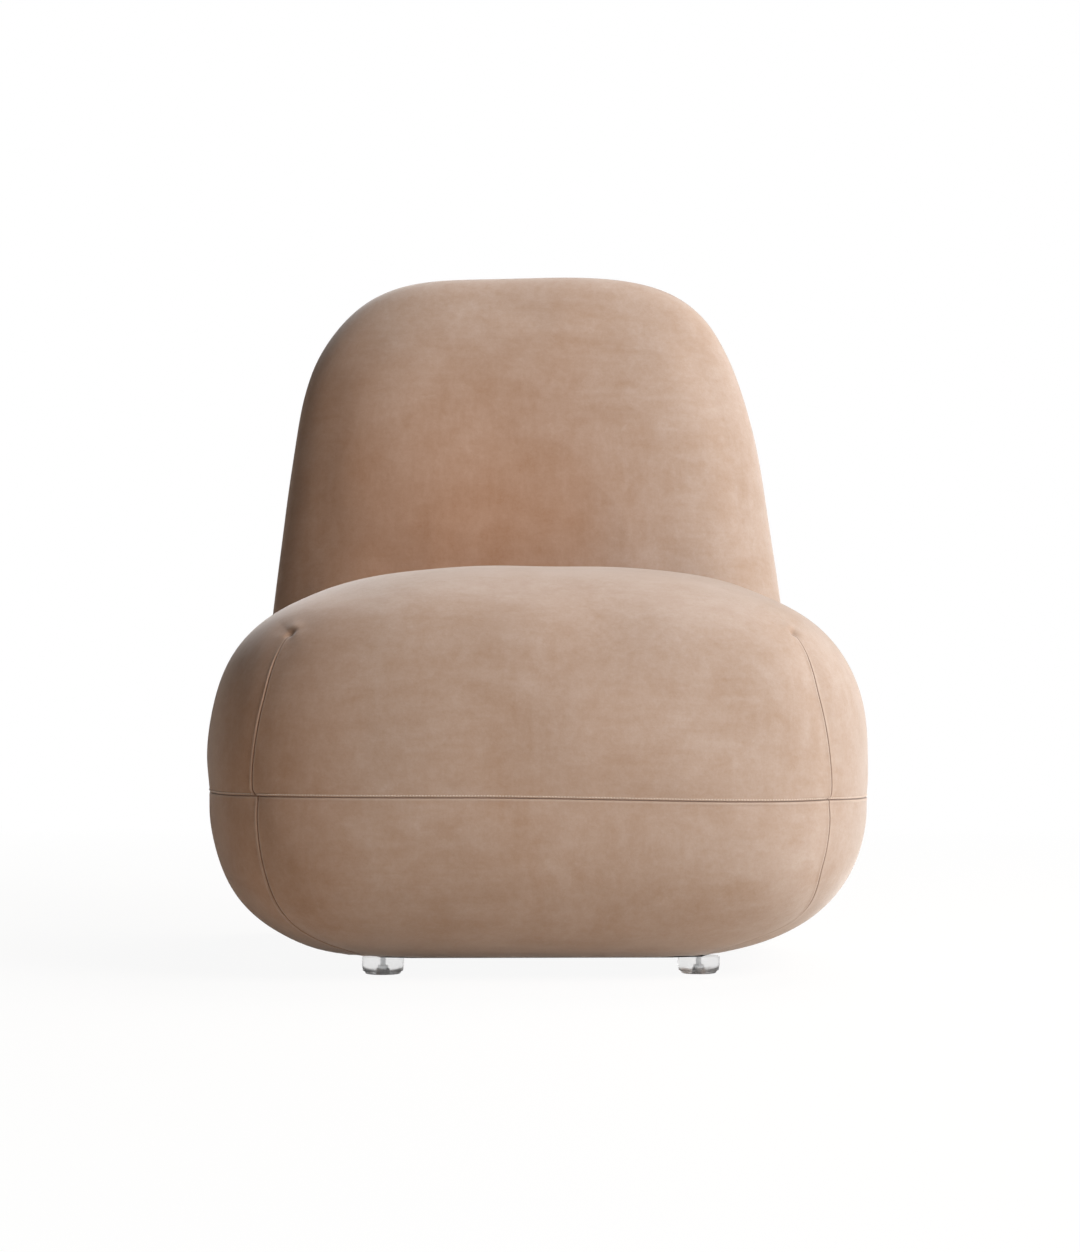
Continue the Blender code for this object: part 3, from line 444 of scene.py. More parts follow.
# Weights of evenly spaced knots on -1..1 at the places asked for, for a smooth cubic through them
def knotWeights(at):
    count = swelling["lines"]
    t = (at + 1) / 2 * (count - 1)
    knot = np.clip(np.floor(t).astype(int), 0, count - 2)
    f = t - knot
    weights = np.zeros((len(at), count))
    rows = np.arange(len(at))
    cubic = {
        -1: -f / 2 + f**2 - f**3 / 2,
        0: 1 - 2.5 * f**2 + 1.5 * f**3,
        1: f / 2 + 2 * f**2 - 1.5 * f**3,
        2: -(f**2) / 2 + f**3 / 2,
    }
    for offset, weight in cubic.items():
        np.add.at(weights, (rows, np.clip(knot + offset, 0, count - 1)), weight)
    return weights


# What the swelling adds at the crossings of two sets of lines on a face
def shiftOn(shifts, face, first, second):
    return np.einsum("ai,ijk,bj->abk", knotWeights(first), shifts[face], knotWeights(second))


leather = {
    "thickness": 0.0014,
    "roll": 0.0013,  # radius of the turned-in edge at a seam
    "ridge": 0.0008,  # how much an edge that lies on top stands up
    "ridgeAt": 1.7,  # in rolls from the seam
    "ridgeWidth": 1.1,  # in rolls
    "pinch": 0.0015,  # how deep the leather draws in where two seams meet
    "pinchWidth": 0.011,
    "valley": 0.0011,  # how far the surface draws in towards a seam
    "valleyWidth": 0.017,
    "stitchLine": 0.0034,
    "stitchWidth": 0.0008,
    "stitchSink": 0.0003,
    "pucker": 0.00035,
    "puckerLength": 0.026,
    "puckerWidth": 0.011,
    "uneven": 0.0009,
}

# The dart tips at the front: a dent with short folds round it, and a small pad beside it
dartTip = {
    "up": (0, 0.25, 0.97),
    "depth": 0.0040,
    "width": 0.0045,
    "fold": 0.0008,
    "folds": 3,
    "foldWidth": 0.024,
    "turns": (0.4, 1.9),  # of the folds, left and right
    "pad": 0.0011,
    "padUp": 0.007,
    "padInward": 0.006,
    "padWidth": 0.006,
}


# Height over the plain surface at a distance from a seam: a quarter round that turns in, a ridge beside it
# and a wide shallow valley
def seamHeight(away, ridge):
    roll = leather["roll"]
    inside = np.clip(away, 0, roll)
    turned = np.sqrt(np.maximum(roll**2 - (roll - inside) ** 2, 0)) - roll
    fromRidge = (away - leather["ridgeAt"] * roll) / (leather["ridgeWidth"] * roll)
    bump = leather["ridge"] * ridge * np.exp(-(fromRidge**2))
    return turned + bump - leather["valley"] * np.exp(-((away / leather["valleyWidth"]) ** 2))


# Height round a dart tip: less a bell curve, more or less by a cosine round the tip that fades, and more by a small
# bell curve above and inward of it
def tipHeight(toTip, out, turn):
    up = np.array(dartTip["up"])
    rise, outward = toTip @ (up / np.linalg.norm(up)), toTip @ out
    away = np.linalg.norm(toTip, axis=1)
    dent = dartTip["depth"] * np.exp(-((away / dartTip["width"]) ** 2))
    fold = np.cos(dartTip["folds"] * np.arctan2(outward, rise) + turn) * np.exp(-away / dartTip["foldWidth"])
    toPad = (rise - dartTip["padUp"]) ** 2 + (outward + dartTip["padInward"]) ** 2
    pad = dartTip["pad"] * np.exp(-toPad / dartTip["padWidth"] ** 2)
    return dartTip["fold"] * fold * smooth(away, 0.002, 0.012) + pad - dent


# Makes a leather panel from grids. Each grid knows how far its points are from the level seam and from the
# upright seams, how much of those there is, and how high the edge lies. It prints the panel's faces and its
# area
def leatherPanel(name, parts, middle, seed, replaced, restsOn, tips=()):
    cage, first, index = joinGrids([part["cage"] for part in parts], [part["mark"] for part in parts])

    def gather(key):
        full = [np.broadcast_to(part[key], part["mark"].shape) for part in parts]
        return np.concatenate([grid.ravel() for grid in full])[first]

    points = np.concatenate([part["points"].reshape(-1, 3) for part in parts])[first]
    level, upright = gather("level"), gather("upright")
    mesh = fillMesh(name, points, [gridQuads(part, points, middle) for part in index])
    normal = readNormals(mesh)
    height = seamHeight(level, gather("levelRidge"))
    height += seamHeight(upright, gather("uprightRidge")) * gather("seamed")
    sunk = np.exp(-(((level - leather["stitchLine"]) / leather["stitchWidth"]) ** 2)) * gather("stitched")
    height -= leather["stitchSink"] * sunk
    height -= leather["pinch"] * np.exp(-(level**2 + upright**2) / leather["pinchWidth"] ** 2)
    near = np.minimum(level, upright)
    length = leather["puckerLength"]
    pucker = unevenness(points, seed, 0.8 * length, 1.7 * length)
    height += leather["pucker"] * pucker * np.exp(-near / leather["puckerWidth"]) * smooth(near, 0.0008, 0.004)
    height += leather["uneven"] * unevenness(points, seed + 1, 0.11, 0.26) * smooth(near, 0, 0.05)
    for at, out, turn in tips:
        height += tipHeight(points - at, out, turn)
    points = points + normal * (height * freedom(points))[:, None]
    mesh.vertices.foreach_set("co", points.astype(np.float32).ravel())
    seamAway = mesh.attributes.new("seamAway", "FLOAT", "POINT")
    seamAway.data.foreach_set("value", near.astype(np.float32))
    mesh.update()
    piece = addPiece(name, mesh, leatherSkin, "leather", replaced)
    shell = piece.modifiers.new("leather thickness", "SOLIDIFY")
    shell.thickness = leather["thickness"]
    shell.offset = -1
    skin = sum(polygon.area for polygon in mesh.polygons)
    print(name, len(mesh.polygons), "faces", round(skin, 3), "square metres")
    return mesh, index


# Shader maths as Python: an expression on wires adds its Math nodes
class Wire:
    def __init__(self, board, socket):
        self.board = board
        self.socket = socket

    def join(self, operation, first, second):
        return self.board.node("ShaderNodeMath", {"operation": operation}, {0: first, 1: second})

    def __add__(self, other):
        return self.join("ADD", self, other)

    def __mul__(self, other):
        return self.join("MULTIPLY", self, other)

    __radd__, __rmul__ = __add__, __mul__

    def __sub__(self, other):
        return self.join("SUBTRACT", self, other)

    def __rsub__(self, other):
        return self.join("SUBTRACT", other, self)


# The node tree of a material or of the world
class Board:
    def __init__(self, owner):
        owner.use_nodes = True
        self.tree = owner.node_tree

    def node(self, kind, settings=None, inputs=None, output=0):
        made = self.tree.nodes.new(kind)
        for setting, value in (settings or {}).items():
            setattr(made, setting, value)
        for socket, value in (inputs or {}).items():
            if isinstance(value, Wire):
                self.tree.links.new(value.socket, made.inputs[socket])
            else:
                made.inputs[socket].default_value = value
        return Wire(self, made.outputs[output])

    # Shows one surface where the factor is 0 and another where it is 1
    def show(self, factor, first, second):
        mixed = self.node("ShaderNodeMixShader", None, {0: factor, 1: first, 2: second})
        out = next(node for node in self.tree.nodes if node.type.startswith("OUTPUT"))
        self.tree.links.new(mixed.socket, out.inputs["Surface"])


# A material with its nodes. Values that are the same all over are set on the shader itself
class Paint(Board):
    def __init__(self, name, fixed):
        self.material = bpy.data.materials.new(name)
        super().__init__(self.material)
        self.shader = self.tree.nodes["Principled BSDF"]
        for socket, value in fixed.items():
            self.shader.inputs[socket].default_value = value

    # Feeds what changes over the surface
    def finish(self, colour, roughness=None, normal=None):
        for socket, wire in {"Base Color": colour, "Roughness": roughness, "Normal": normal}.items():
            if wire is not None:
                self.tree.links.new(wire.socket, self.shader.inputs[socket])
        return self.material

    # The object's own coordinates, stretched and turned
    def place(self, scale=(1, 1, 1), turn=(0, 0, 0)):
        spot = self.node("ShaderNodeTexCoord", output="Object")
        return self.node("ShaderNodeMapping", None, {"Vector": spot, "Scale": scale, "Rotation": turn})

    # Noise centred on zero, from about -1 to 1
    def cloud(self, spot, size, detail=3.0, rough=0.55, warp=0.0):
        noise = {"Vector": spot, "Scale": 1 / size, "Detail": detail, "Roughness": rough, "Distortion": warp}
        return (self.node("ShaderNodeTexNoise", None, noise) - 0.5) * 3.2

    # From 0 at low to 1 at high, straight
    def ramp(self, wire, low, high):
        ends = {"Value": wire, "From Min": low, "From Max": high, "To Min": 0.0, "To Max": 1.0}
        return self.node("ShaderNodeMapRange", {"clamp": True}, ends)

    # The Mix node's sockets 6 and 7 take its colours, and socket 2 gives the result
    def blend(self, factor, first, second, way="MIX"):
        ready = [value if isinstance(value, Wire) else (*value, 1) for value in (first, second)]
        inputs = {0: factor, 6: ready[0], 7: ready[1]}
        return self.node("ShaderNodeMix", {"data_type": "RGBA", "blend_type": way}, inputs, 2)

    def bump(self, height, distance, strength=1.0, under=None):
        inputs = {"Height": height, "Distance": distance, "Strength": strength}
        if under is not None:
            inputs["Normal"] = under
        return self.node("ShaderNodeBump", None, inputs)


# Nubuck: matt, with a short nap that lies light and dark in soft clouds and brush marks
nubuckLook = {
    "fixed": {"Specular IOR Level": 0.08, "Sheen Weight": 0.46, "Sheen Roughness": 0.45, "Sheen Tint": (1, 1, 1, 1)},
    "light": (0.488, 0.376, 0.314),
    "dark": (0.330, 0.198, 0.122),
    "scuff": (0.52, 0.415, 0.350),
    # painted shade: the colour of the shade in the seams' grooves
    "seam": (0.13, 0.062, 0.036),
    "shadeTintRed": (1.03, 0.87, 0.75),  # painted shade: more red at the left flank and low on the back, where they lie in shade
    # painted light: paler and greyer at the right, where the lamps and the sheen fall
    "litTintPale": (0.99, 1.06, 1.12),
    "scuffed": 0.6,  # how much the scuffs show
    "rubbed": 0.35,  # how much the edges beside a seam are worn
    "seamShade": 0.75,
}


def nubuck():
    paint = Paint("nubuck", nubuckLook["fixed"])
    plain = paint.place()
    broad = paint.cloud(plain, 0.30, 2.0, 0.5, 0.4)
    blotch = paint.cloud(paint.place((1, 1, 1.25)), 0.085, 4.0, 0.6, 0.6)
    patch = paint.cloud(plain, 0.028, 4.0, 0.65, 0.5)
    uprightMarks = paint.cloud(paint.place((1.0, 1.0, 0.16)), 0.011, 3.0, 0.6, 0.2)
    levelMarks = paint.cloud(paint.place((0.12, 0.3, 1.0)), 0.010, 3.0, 0.6, 0.2)
    slantMarks = paint.cloud(paint.place((0.30, 1.0, 1.3), (0, 0.5, 0.35)), 0.030, 4.0, 0.6, 0.3)
    nap = paint.cloud(plain, 0.0060, 3.0, 0.7)
    speckle = paint.cloud(plain, 0.0022, 2.0, 0.7)
    brushed = paint.ramp(paint.cloud(plain, 0.12, 2.0, 0.5), -0.25, 0.25)
    marks = uprightMarks * brushed + levelMarks * (1 - brushed)
    tone = 0.5 + broad * 0.12 + blotch * 0.19 + patch * 0.15 + marks * 0.12 + slantMarks * 0.09
    tone = tone + nap * 0.11 + speckle * 0.09
    colour = paint.blend(tone, nubuckLook["dark"], nubuckLook["light"])
    scuffs = paint.ramp(paint.cloud(paint.place((0.8, 1.0, 1.4), (0.3, 0, 0.2)), 0.048, 5.0, 0.65, 0.8), 0.55, 1.25)
    colour = paint.blend(scuffs * nubuckLook["scuffed"], colour, nubuckLook["scuff"])
    # Painted shade and painted light: the colour turns more red on the left flank and low on the back, where shade
    # falls, and paler on the right, where the light falls
    side, rearward, rise = (paint.node("ShaderNodeSeparateXYZ", None, {"Vector": plain}, axis) for axis in "XYZ")
    low = 1 - paint.ramp(rise, 0.50, 0.76)
    lowBackShade = paint.ramp(rearward, 0.06, 0.16) * low * (1 - paint.ramp(side, -0.05, 0.20))
    paintedShade = lowBackShade + 1 - paint.ramp(side, -0.31, -0.17)
    tint = paint.blend(paintedShade, (1, 1, 1), nubuckLook["shadeTintRed"])
    tint = paint.blend(paint.ramp(side, 0.05, 0.30), tint, nubuckLook["litTintPale"])
    colour = paint.blend(1.0, colour, tint, "MULTIPLY")
    away = paint.node("ShaderNodeAttribute", {"attribute_name": "seamAway"}, output="Fac")
    rubbed = (1 - paint.ramp(away, 0.0014, 0.0034)) * nubuckLook["rubbed"]
    colour = paint.blend(rubbed * paint.ramp(away, 0.0006, 0.0014), colour, nubuckLook["scuff"])
    # Painted shade: the leather that turns into a seam is darkened as the groove's shade
    seamGrooveShade = 1 - paint.ramp(away, 0.0001, 0.0010)
    colour = paint.blend(seamGrooveShade * nubuckLook["seamShade"], colour, nubuckLook["seam"])
    grain = paint.cloud(plain, 0.0013, 3.0, 0.7)
    soft = paint.bump(blotch * 0.5 + slantMarks * 0.25, 0.0004, 0.6)
    normal = paint.bump(grain * 0.5 + nap * 0.5, 0.00012, 0.7, soft)
    return paint.finish(colour, 0.84 + blotch * 0.03 + nap * 0.03, normal)


# The darkest and the lightest colour of each other finish
shades = {
    "thread": ((0.60, 0.48, 0.39), (0.77, 0.66, 0.57)),
    "foam": ((0.70, 0.62, 0.42), (0.82, 0.76, 0.58)),
    "plywood": ((0.46, 0.31, 0.17), (0.70, 0.54, 0.35)),
    "webbing": ((0.10, 0.075, 0.055), (0.36, 0.30, 0.22)),
    "dustCloth": ((0.018, 0.018, 0.019), (0.045, 0.045, 0.047)),
    "dustClothDots": (0.012, 0.012, 0.013),
    "glide": ((0.90, 0.90, 0.90), (0.98, 0.98, 0.98)),
    "steel": ((0.50, 0.51, 0.52), (0.68, 0.69, 0.70)),
    "floor": ((0.82, 0.75, 0.67), (0.86, 0.79, 0.71)),
}


def threadLook():
    paint = Paint("sewing thread", {"Specular IOR Level": 0.3, "Sheen Weight": 0.2})
    twist = paint.cloud(paint.place(), 0.0006, 1.0)
    return paint.finish(paint.blend(0.5 + twist * 0.4, *shades["thread"]), 0.62 + twist * 0.05)


def foamLook():
    paint = Paint("foam", {"Specular IOR Level": 0.2})
    cells = paint.cloud(paint.place(), 0.0012, 2.0)
    patches = paint.cloud(paint.place(), 0.06, 2.0)
    colour = paint.blend(0.5 + patches * 0.3 + cells * 0.15, *shades["foam"])
    return paint.finish(colour, 0.93 + cells * 0.03, paint.bump(cells, 0.0004, 0.8))


def plywoodLook():
    paint = Paint("birch plywood", {"Specular IOR Level": 0.35})
    grain = paint.cloud(paint.place((1.0, 1.0, 0.06)), 0.006, 4.0, 0.6, 0.3)
    board = paint.cloud(paint.place((1.0, 1.0, 0.25)), 0.09, 2.0)
    fibre = paint.cloud(paint.place((1.0, 1.0, 0.04)), 0.0012, 2.0)
    colour = paint.blend(0.5 + grain * 0.22 + board * 0.18 + fibre * 0.08, *shades["plywood"])
    return paint.finish(colour, 0.58 + grain * 0.06, paint.bump(grain * 0.6 + fibre * 0.4, 0.0002, 0.6))


def webbingLook():
    paint = Paint("elastic webbing", {"Specular IOR Level": 0.25, "Sheen Weight": 0.2})
    spot = paint.place()
    threads = {"Vector": spot, "Scale": 160.0, "Distortion": 0.4}
    across, along = (paint.node("ShaderNodeTexWave", {"bands_direction": way}, threads) for way in "XY")
    weave = across * along
    wear = paint.cloud(spot, 0.02, 2.0)
    colour = paint.blend(weave * 0.8 + wear * 0.1, *shades["webbing"])
    return paint.finish(colour, 0.82 + wear * 0.04, paint.bump(weave, 0.0003, 0.7))


def dustClothLook():
    paint = Paint("dust cover cloth", {"Specular IOR Level": 0.2, "Sheen Weight": 0.15})
    spot = paint.place()
    fibres = paint.cloud(paint.place((1, 0.35, 1), (0, 0, 0.6)), 0.0011, 3.0, 0.6)
    bonds = paint.node("ShaderNodeTexVoronoi", None, {"Vector": spot, "Scale": 420.0, "Randomness": 0.15})
    dots = 1 - paint.ramp(bonds, 0.15, 0.42)
    cloudy = paint.cloud(spot, 0.05, 2.0)
    cloth = paint.blend(0.5 + fibres * 0.25 + cloudy * 0.15, *shades["dustCloth"])
    colour = paint.blend(dots * 0.6, cloth, shades["dustClothDots"])
    return paint.finish(colour, 0.85 - dots * 0.2, paint.bump(fibres * 0.5 - dots, 0.0002, 0.6))


def glideLook():
    paint = Paint("frosted glide plastic", {"Specular IOR Level": 0.5, "Transmission Weight": 0.92, "IOR": 1.1})
    spot = paint.place()
    haze = paint.cloud(spot, 0.012, 2.0)
    scratches = paint.cloud(paint.place((1, 1, 12)), 0.004, 2.0)
    colour = paint.blend(0.5 + haze * 0.25 + scratches * 0.08, *shades["glide"])
    return paint.finish(colour, 0.32 + haze * 0.05 + scratches * 0.03, paint.bump(scratches, 0.00005, 0.4))


def steelLook():
    paint = Paint("zinc steel", {"Metallic": 1.0})
    flakes = paint.node("ShaderNodeTexVoronoi", None, {"Vector": paint.place(), "Scale": 700.0}, "Color")
    tint = paint.node("ShaderNodeSeparateColor", None, {"Color": flakes})
    dull = paint.cloud(paint.place(), 0.006, 2.0)
    colour = paint.blend(tint * 0.6 + dull * 0.2, *shades["steel"])
    return paint.finish(colour, 0.34 + tint * 0.12 + dull * 0.04, paint.bump(dull, 0.00005, 0.3))


leatherSkin = nubuck()
foamSkin = foamLook()
glideSkin = glideLook()
wooden = ("seat_panel", "seat_block", "seat_cross_rail", "back_post", "back_block", "back_m", "back_top")
nodeLooks = [
    (plywoodLook(), wooden),
    (webbingLook(), ("seat_strap", "back_strap")),
    (dustClothLook(), ("seat_dust", "back_dust")),
    (steelLook(), ("glide_screw", "back_bolt")),
    (glideSkin, ("glide_front", "glide_rear")),
]
for skin, starts in nodeLooks:
    for name in [name for name in nodes if name.startswith(starts)]:
        nodes[name].data.materials.clear()
        nodes[name].data.materials.append(skin)
print("materials made")

# Foam: each block of the frame with its edges rounded off, as cut foam has under its fleece
foamCut = {"voxel": 0.006, "smoothing": 0.5, "passes": 5}


def foamBlock(name, replaced):
    loose = nodes[replaced].data
    points = readPoints(loose)
    first, inverse = distinctRows(points)
    loops = np.empty(len(loose.loops), np.int32)
    loose.loops.foreach_get("vertex_index", loops)
    block = bpy.data.meshes.new(name)
    block.from_pydata(points[first].tolist(), [], inverse[loops].reshape(-1, 3).tolist())
    piece = addPiece(name, block, foamSkin, "foam", replaced)
    remesh = piece.modifiers.new("even skin", "REMESH")
    remesh.mode = "VOXEL"
    remesh.voxel_size = foamCut["voxel"]
    remesh.use_smooth_shade = True
    soften = piece.modifiers.new("rounded edges", "SMOOTH")
    soften.factor = foamCut["smoothing"]
    soften.iterations = foamCut["passes"]
    ready = bpy.data.meshes.new_from_object(piece.evaluated_get(bpy.context.evaluated_depsgraph_get()))
    piece.modifiers.clear()
    piece.data = ready
    ready.materials.clear()
    ready.materials.append(foamSkin)
    bpy.data.meshes.remove(block)
    print(name, len(ready.polygons), "faces")


for place in ("top", "front", "left", "right", "rear"):
    foamBlock("foam_seat_" + place, "seat_foam_" + place)
for place in ("front", "rear"):
    foamBlock("foam_back_" + place, "back_foam_" + place)
print("foam made")


# Seat: an upper panel darted at its four corners, and a band below the level seam in four mitred panels.
# Its skin is held at the level seam, less at the corner seams, and where the leather isn't free
def heldSeat(cage, point):
    atSeam = 1 - smooth(np.abs(cage[:, 2]), 0.0, 0.09)
    side, run = np.abs(cage[:, 0]), np.abs(cage[:, 1])
    atCorner = smooth(np.minimum(side, run), 0.93, 1.0)
    return np.maximum.reduce([atSeam, 0.75 * atCorner, 1 - freedom(point)])


seatMiddle = np.array([0, seatMiddleY, seat["seam"]])
seatSwell = swell("seat skin", seatSurface, heldSeat, seatMiddle)
seatSide, seatRun = linesAcross(116, 0.33), linesAcross(96, 0.28)
seatAcross = {"front": seatSide, "rear": seatSide, "left": seatRun, "right": seatRun}
seatUp = linesFrom(44, 0.29)
seatDown = -linesFrom(30, 0.19)
sides = ("front", "left", "right", "rear")
uprightRidges = {"front": (0.1, 0.6), "left": (1.1, 0.4), "right": (0.2, 0.4), "rear": (0.3, 0.3)}
farFromSeam = 0.3  # a distance at which a seam changes nothing


# What a leather panel knows of one of its grids. What isn't given is as on a plain face that no seam crosses
def panelPart(cage, points, **known):
    shares = dict.fromkeys(("seamed", "levelRidge", "uprightRidge", "stitched"), 0.0)
    plain = {"mark": np.zeros(cage.shape[:2]), "level": farFromSeam, "upright": farFromSeam, **shares}
    return {"cage": cage, "points": points, **plain, **known}


# How much of a ridge a panel has along the upright seam at each of its ends
def uprightRidge(face, across):
    return np.where(across[:, None] < 0, *uprightRidges[face])


# A side of the upper panel. Its ends are darts: their points are marked as its own up to the crown
def seatUpperSide(number, face):
    across = seatAcross[face]
    cage = cageGrid(face, across, seatUp)
    points = seatSurface(cage, True) + shiftOn(seatSwell, face, across, seatUp)
    level, run = runAlong(points, 1), runAlong(points, 0)
    return panelPart(
        cage,
        points,
        mark=np.where((np.abs(across)[:, None] > 1 - 1e-9) & (seatUp < 1 - 1e-9), number + 1, 0),
        level=level,
        upright=np.minimum(run, run[-1:] - run),
        seamed=smooth(level[:, -1:] - level, 0.0, 0.05),
        levelRidge=0.12,
        uprightRidge=uprightRidge(face, across),
        stitched=1.0,
    )


# The top of the upper panel, where only the dart tips at its corners count as a seam
def seatCrown():
    cage = cageGrid("top", seatSide, seatRun)
    points = seatSurface(cage, True) + shiftOn(seatSwell, "top", seatSide, seatRun)
    return panelPart(cage, points, upright=toNearest(points, points[[0, 0, -1, -1], [0, -1, 0, -1]]))


crown = seatCrown()
upperParts = [seatUpperSide(number, face) for number, face in enumerate(sides)] + [crown]
frontTips = [
    (crown["points"][column, 0], np.array([outward, 0, 0]), turn)
    for column, outward, turn in zip((0, -1), (-1.0, 1.0), dartTip["turns"])
]
seatTopMesh, seatTopIndex = leatherPanel(
    "seat_top_panel", upperParts, seatMiddle, 11, "seat_cover_top",
    ["foam_seat_top", "foam_seat_front"], frontTips,
)


# A side of the band: down from the level seam, and on under the seat to 0.4 of its plan
def seatBand(face):
    across = seatAcross[face]
    one, _, fixed, stand = cageFaces[face]
    hem = np.linspace(1, 0.4, 14)[1:]
    upper = cageGrid(face, across, seatDown)
    under = np.empty((len(across), len(hem), 3))
    under[..., one] = across[:, None] * hem
    under[..., fixed] = stand * hem
    under[..., 2] = -1
    cage = np.concatenate([upper, under], 1)
    points = seatSurface(cage, False)
    points[:, : len(seatDown)] += shiftOn(seatSwell, face, across, seatDown)
    level, run = runAlong(points, 1), runAlong(points, 0)
    return panelPart(
        cage,
        points,
        level=level,
        upright=np.minimum(run, run[-1:] - run),
        seamed=1.0,
        levelRidge=0.12 + 0.55 * smooth(points[..., 0], 0.05, 0.25),
        uprightRidge=uprightRidge(face, across),
    )


for number, face in enumerate(sides):
    leatherPanel(
        "seat_band_" + face, [seatBand(face)], seatMiddle, 21 + number, "seat_cover_" + face,
        ["foam_seat_" + face],
    )
print("seat covered")


# Back: a front and a rear panel that meet in a seam round the edge, each darted at the top corners.
# Its skin is held at the seam and where the leather isn't free
def heldBack(cage, point):
    atSeam = 1 - smooth(np.abs(cage[:, 2]), 0.0, 0.12)
    return np.maximum(atSeam, 1 - freedom(point))


backMiddle = leanBack(0.0, back["middle"], backRearward)
backSwell = swell("back skin", backSurface, heldBack, backMiddle)
backSide, backUp = linesAcross(100, 0.30), linesAcross(124, 0.42)
backAcross = {"front": backSide, "rear": backSide, "left": backUp, "right": backUp}
backFrontIn, backRearIn = -linesFrom(30, 0.16), linesFrom(26, 0.12)
frontDartShare = 0.4  # how far the front panel's darts go from the seam, where the rear panel's reach its face


# A strip beside the back's seam: only the top corners are darted, so a side strip has a dart at its far end,
# the upper one at both and the lower one at neither
def backStrip(number, face, inward):
    across = backAcross[face]
    cage = cageGrid(face, across, inward)
    points = backSurface(cage) + shiftOn(backSwell, face, across, inward)
    level, run = runAlong(points, 1), runAlong(points, 0)
    ends = {"rear": np.minimum(run, run[-1:] - run), "front": np.full_like(run, farFromSeam)}
    upright = ends.get(face, run[-1:] - run)
    tipShare = frontDartShare if inward[-1] < 0 else 1.0
    tipRow = int(np.argmax(np.abs(inward) >= tipShare - 1e-9))
    beyond = np.clip(level - level[:, tipRow : tipRow + 1], 0, None)
    atTop = {"rear": np.abs(across) > 1 - 1e-9, "front": np.zeros(len(across), bool)}.get(face, across > 1 - 1e-9)
    split = atTop[:, None] & (np.arange(len(inward)) < tipRow)
    return panelPart(
        cage,
        points,
        mark=np.where(split, number + 1, 0),
        level=level,
        upright=np.sqrt(upright**2 + beyond**2),
        seamed=smooth(level[:, tipRow : tipRow + 1] - level, 0.0, 0.03),
        levelRidge=0.5,
        uprightRidge=0.6,
    )


# The strips and the face of one of the back's panels. Only the rear face has dart tips at its top corners
def backParts(face, inward):
    cage = cageGrid(face, backSide, backUp)
    points = backSurface(cage) + shiftOn(backSwell, face, backSide, backUp)
    upright = toNearest(points, points[[0, -1], -1]) if face == "top" else farFromSeam
    strips = [backStrip(number, side, inward) for number, side in enumerate(sides)]
    return strips + [panelPart(cage, points, upright=upright)]


backPanels = {
    "front": (backParts("bottom", backFrontIn), 31, (0.93, 1.06, 0.77)),
    "rear": (backParts("top", backRearIn), 41, (0.72, 0.84, 0.48)),
}
for place, (parts, seed, cut) in backPanels.items():
    leatherPanel(
        "back_" + place + "_panel", parts, backMiddle, seed, "back_cover_" + place, ["foam_back_" + place],
    )
print("back covered")

# Topstitching: short round threads laid on the upper panel, just above the level seam
stitching = {
    "pitch": 0.0031,
    "length": 0.0020,
    "radius": 0.00045,
    "lift": 0.00012,  # of the thread's middle over the leather
    "fromEnds": 0.006,
    "lookAhead": 0.0008,
    "row": 7,  # the panel's line, counted from the seam, that the threads follow
    "sides": 6,
    "rings": 5,
}


# A capsule along x: rings whose radius is the square root of 1 less x to the fourth, and then its two tips
def capsule():
    x = np.linspace(-1, 1, stitching["rings"] + 2)
    wide = np.sqrt(1 - np.abs(x) ** 4)
    turn = np.arange(stitching["sides"]) * 2 * np.pi / stitching["sides"]
    ring = np.stack([np.zeros_like(turn), np.cos(turn), np.sin(turn)], -1)
    body = wide[1:-1, None, None] * ring
    body[..., 0] = x[1:-1, None]
    return np.concatenate([body.reshape(-1, 3), [[-1, 0, 0], [1, 0, 0]]])


# Triangles from one point to each step of a ring
def fan(tip, here, there):
    return np.stack([np.full(len(here), tip), here, there], -1)


# Quads between the capsule's rings, and a fan at each end
def capsuleFaces():
    count, rings = stitching["sides"], stitching["rings"]
    here = np.arange(count)
    there = (here + 1) % count
    start = np.arange(rings - 1)[:, None] * count
    quads = np.stack([start + here, start + count + here, start + count + there, start + there], -1).reshape(-1, 4)
    first, last, tail = count * rings, count * rings + 1, (rings - 1) * count
    caps = np.concatenate([fan(first, here, there), fan(last, tail + there, tail + here)])
    return quads[:, ::-1], caps[:, ::-1]


# Places at equal steps along the panel's line on the front, left and right, each with its way ahead and outward
def stitchRows():
    points, normals = readPoints(seatTopMesh), readNormals(seatTopMesh)
    rows = []
    for index in seatTopIndex[:3]:
        row = index[:, stitching["row"]]
        run = runAlong(points[row], 0)
        at = np.arange(stitching["fromEnds"], run[-1] - stitching["fromEnds"], stitching["pitch"])
        look = [(at, points), (at + stitching["lookAhead"], points), (at, normals)]
        place, ahead, out = (np.stack([np.interp(x, run, of[row, k]) for k in range(3)], -1) for x, of in look)
        rows.append(np.stack([place, ahead - place, out])[:, freedom(place) > 0.9])
    return np.concatenate(rows, 1)


# One capsule for each place, turned along its own three ways
def stitches():
    place, way, out = stitchRows()
    way = unit(way)
    cross = unit(np.cross(out, way))
    out = np.cross(way, cross)
    shape = capsule() * (stitching["length"] / 2, stitching["radius"], stitching["radius"])
    points = (place + out * stitching["lift"])[:, None] + shape @ np.stack([way, cross, out], 1)
    shift = (np.arange(len(place)) * len(shape))[:, None, None]
    faces = [(part + shift).reshape(-1, part.shape[1]) for part in capsuleFaces()]
    addPiece("topstitching", fillMesh("topstitching", points.reshape(-1, 3), faces), threadLook(), "leather")
    print("topstitching", len(place), "stitches")


stitches()

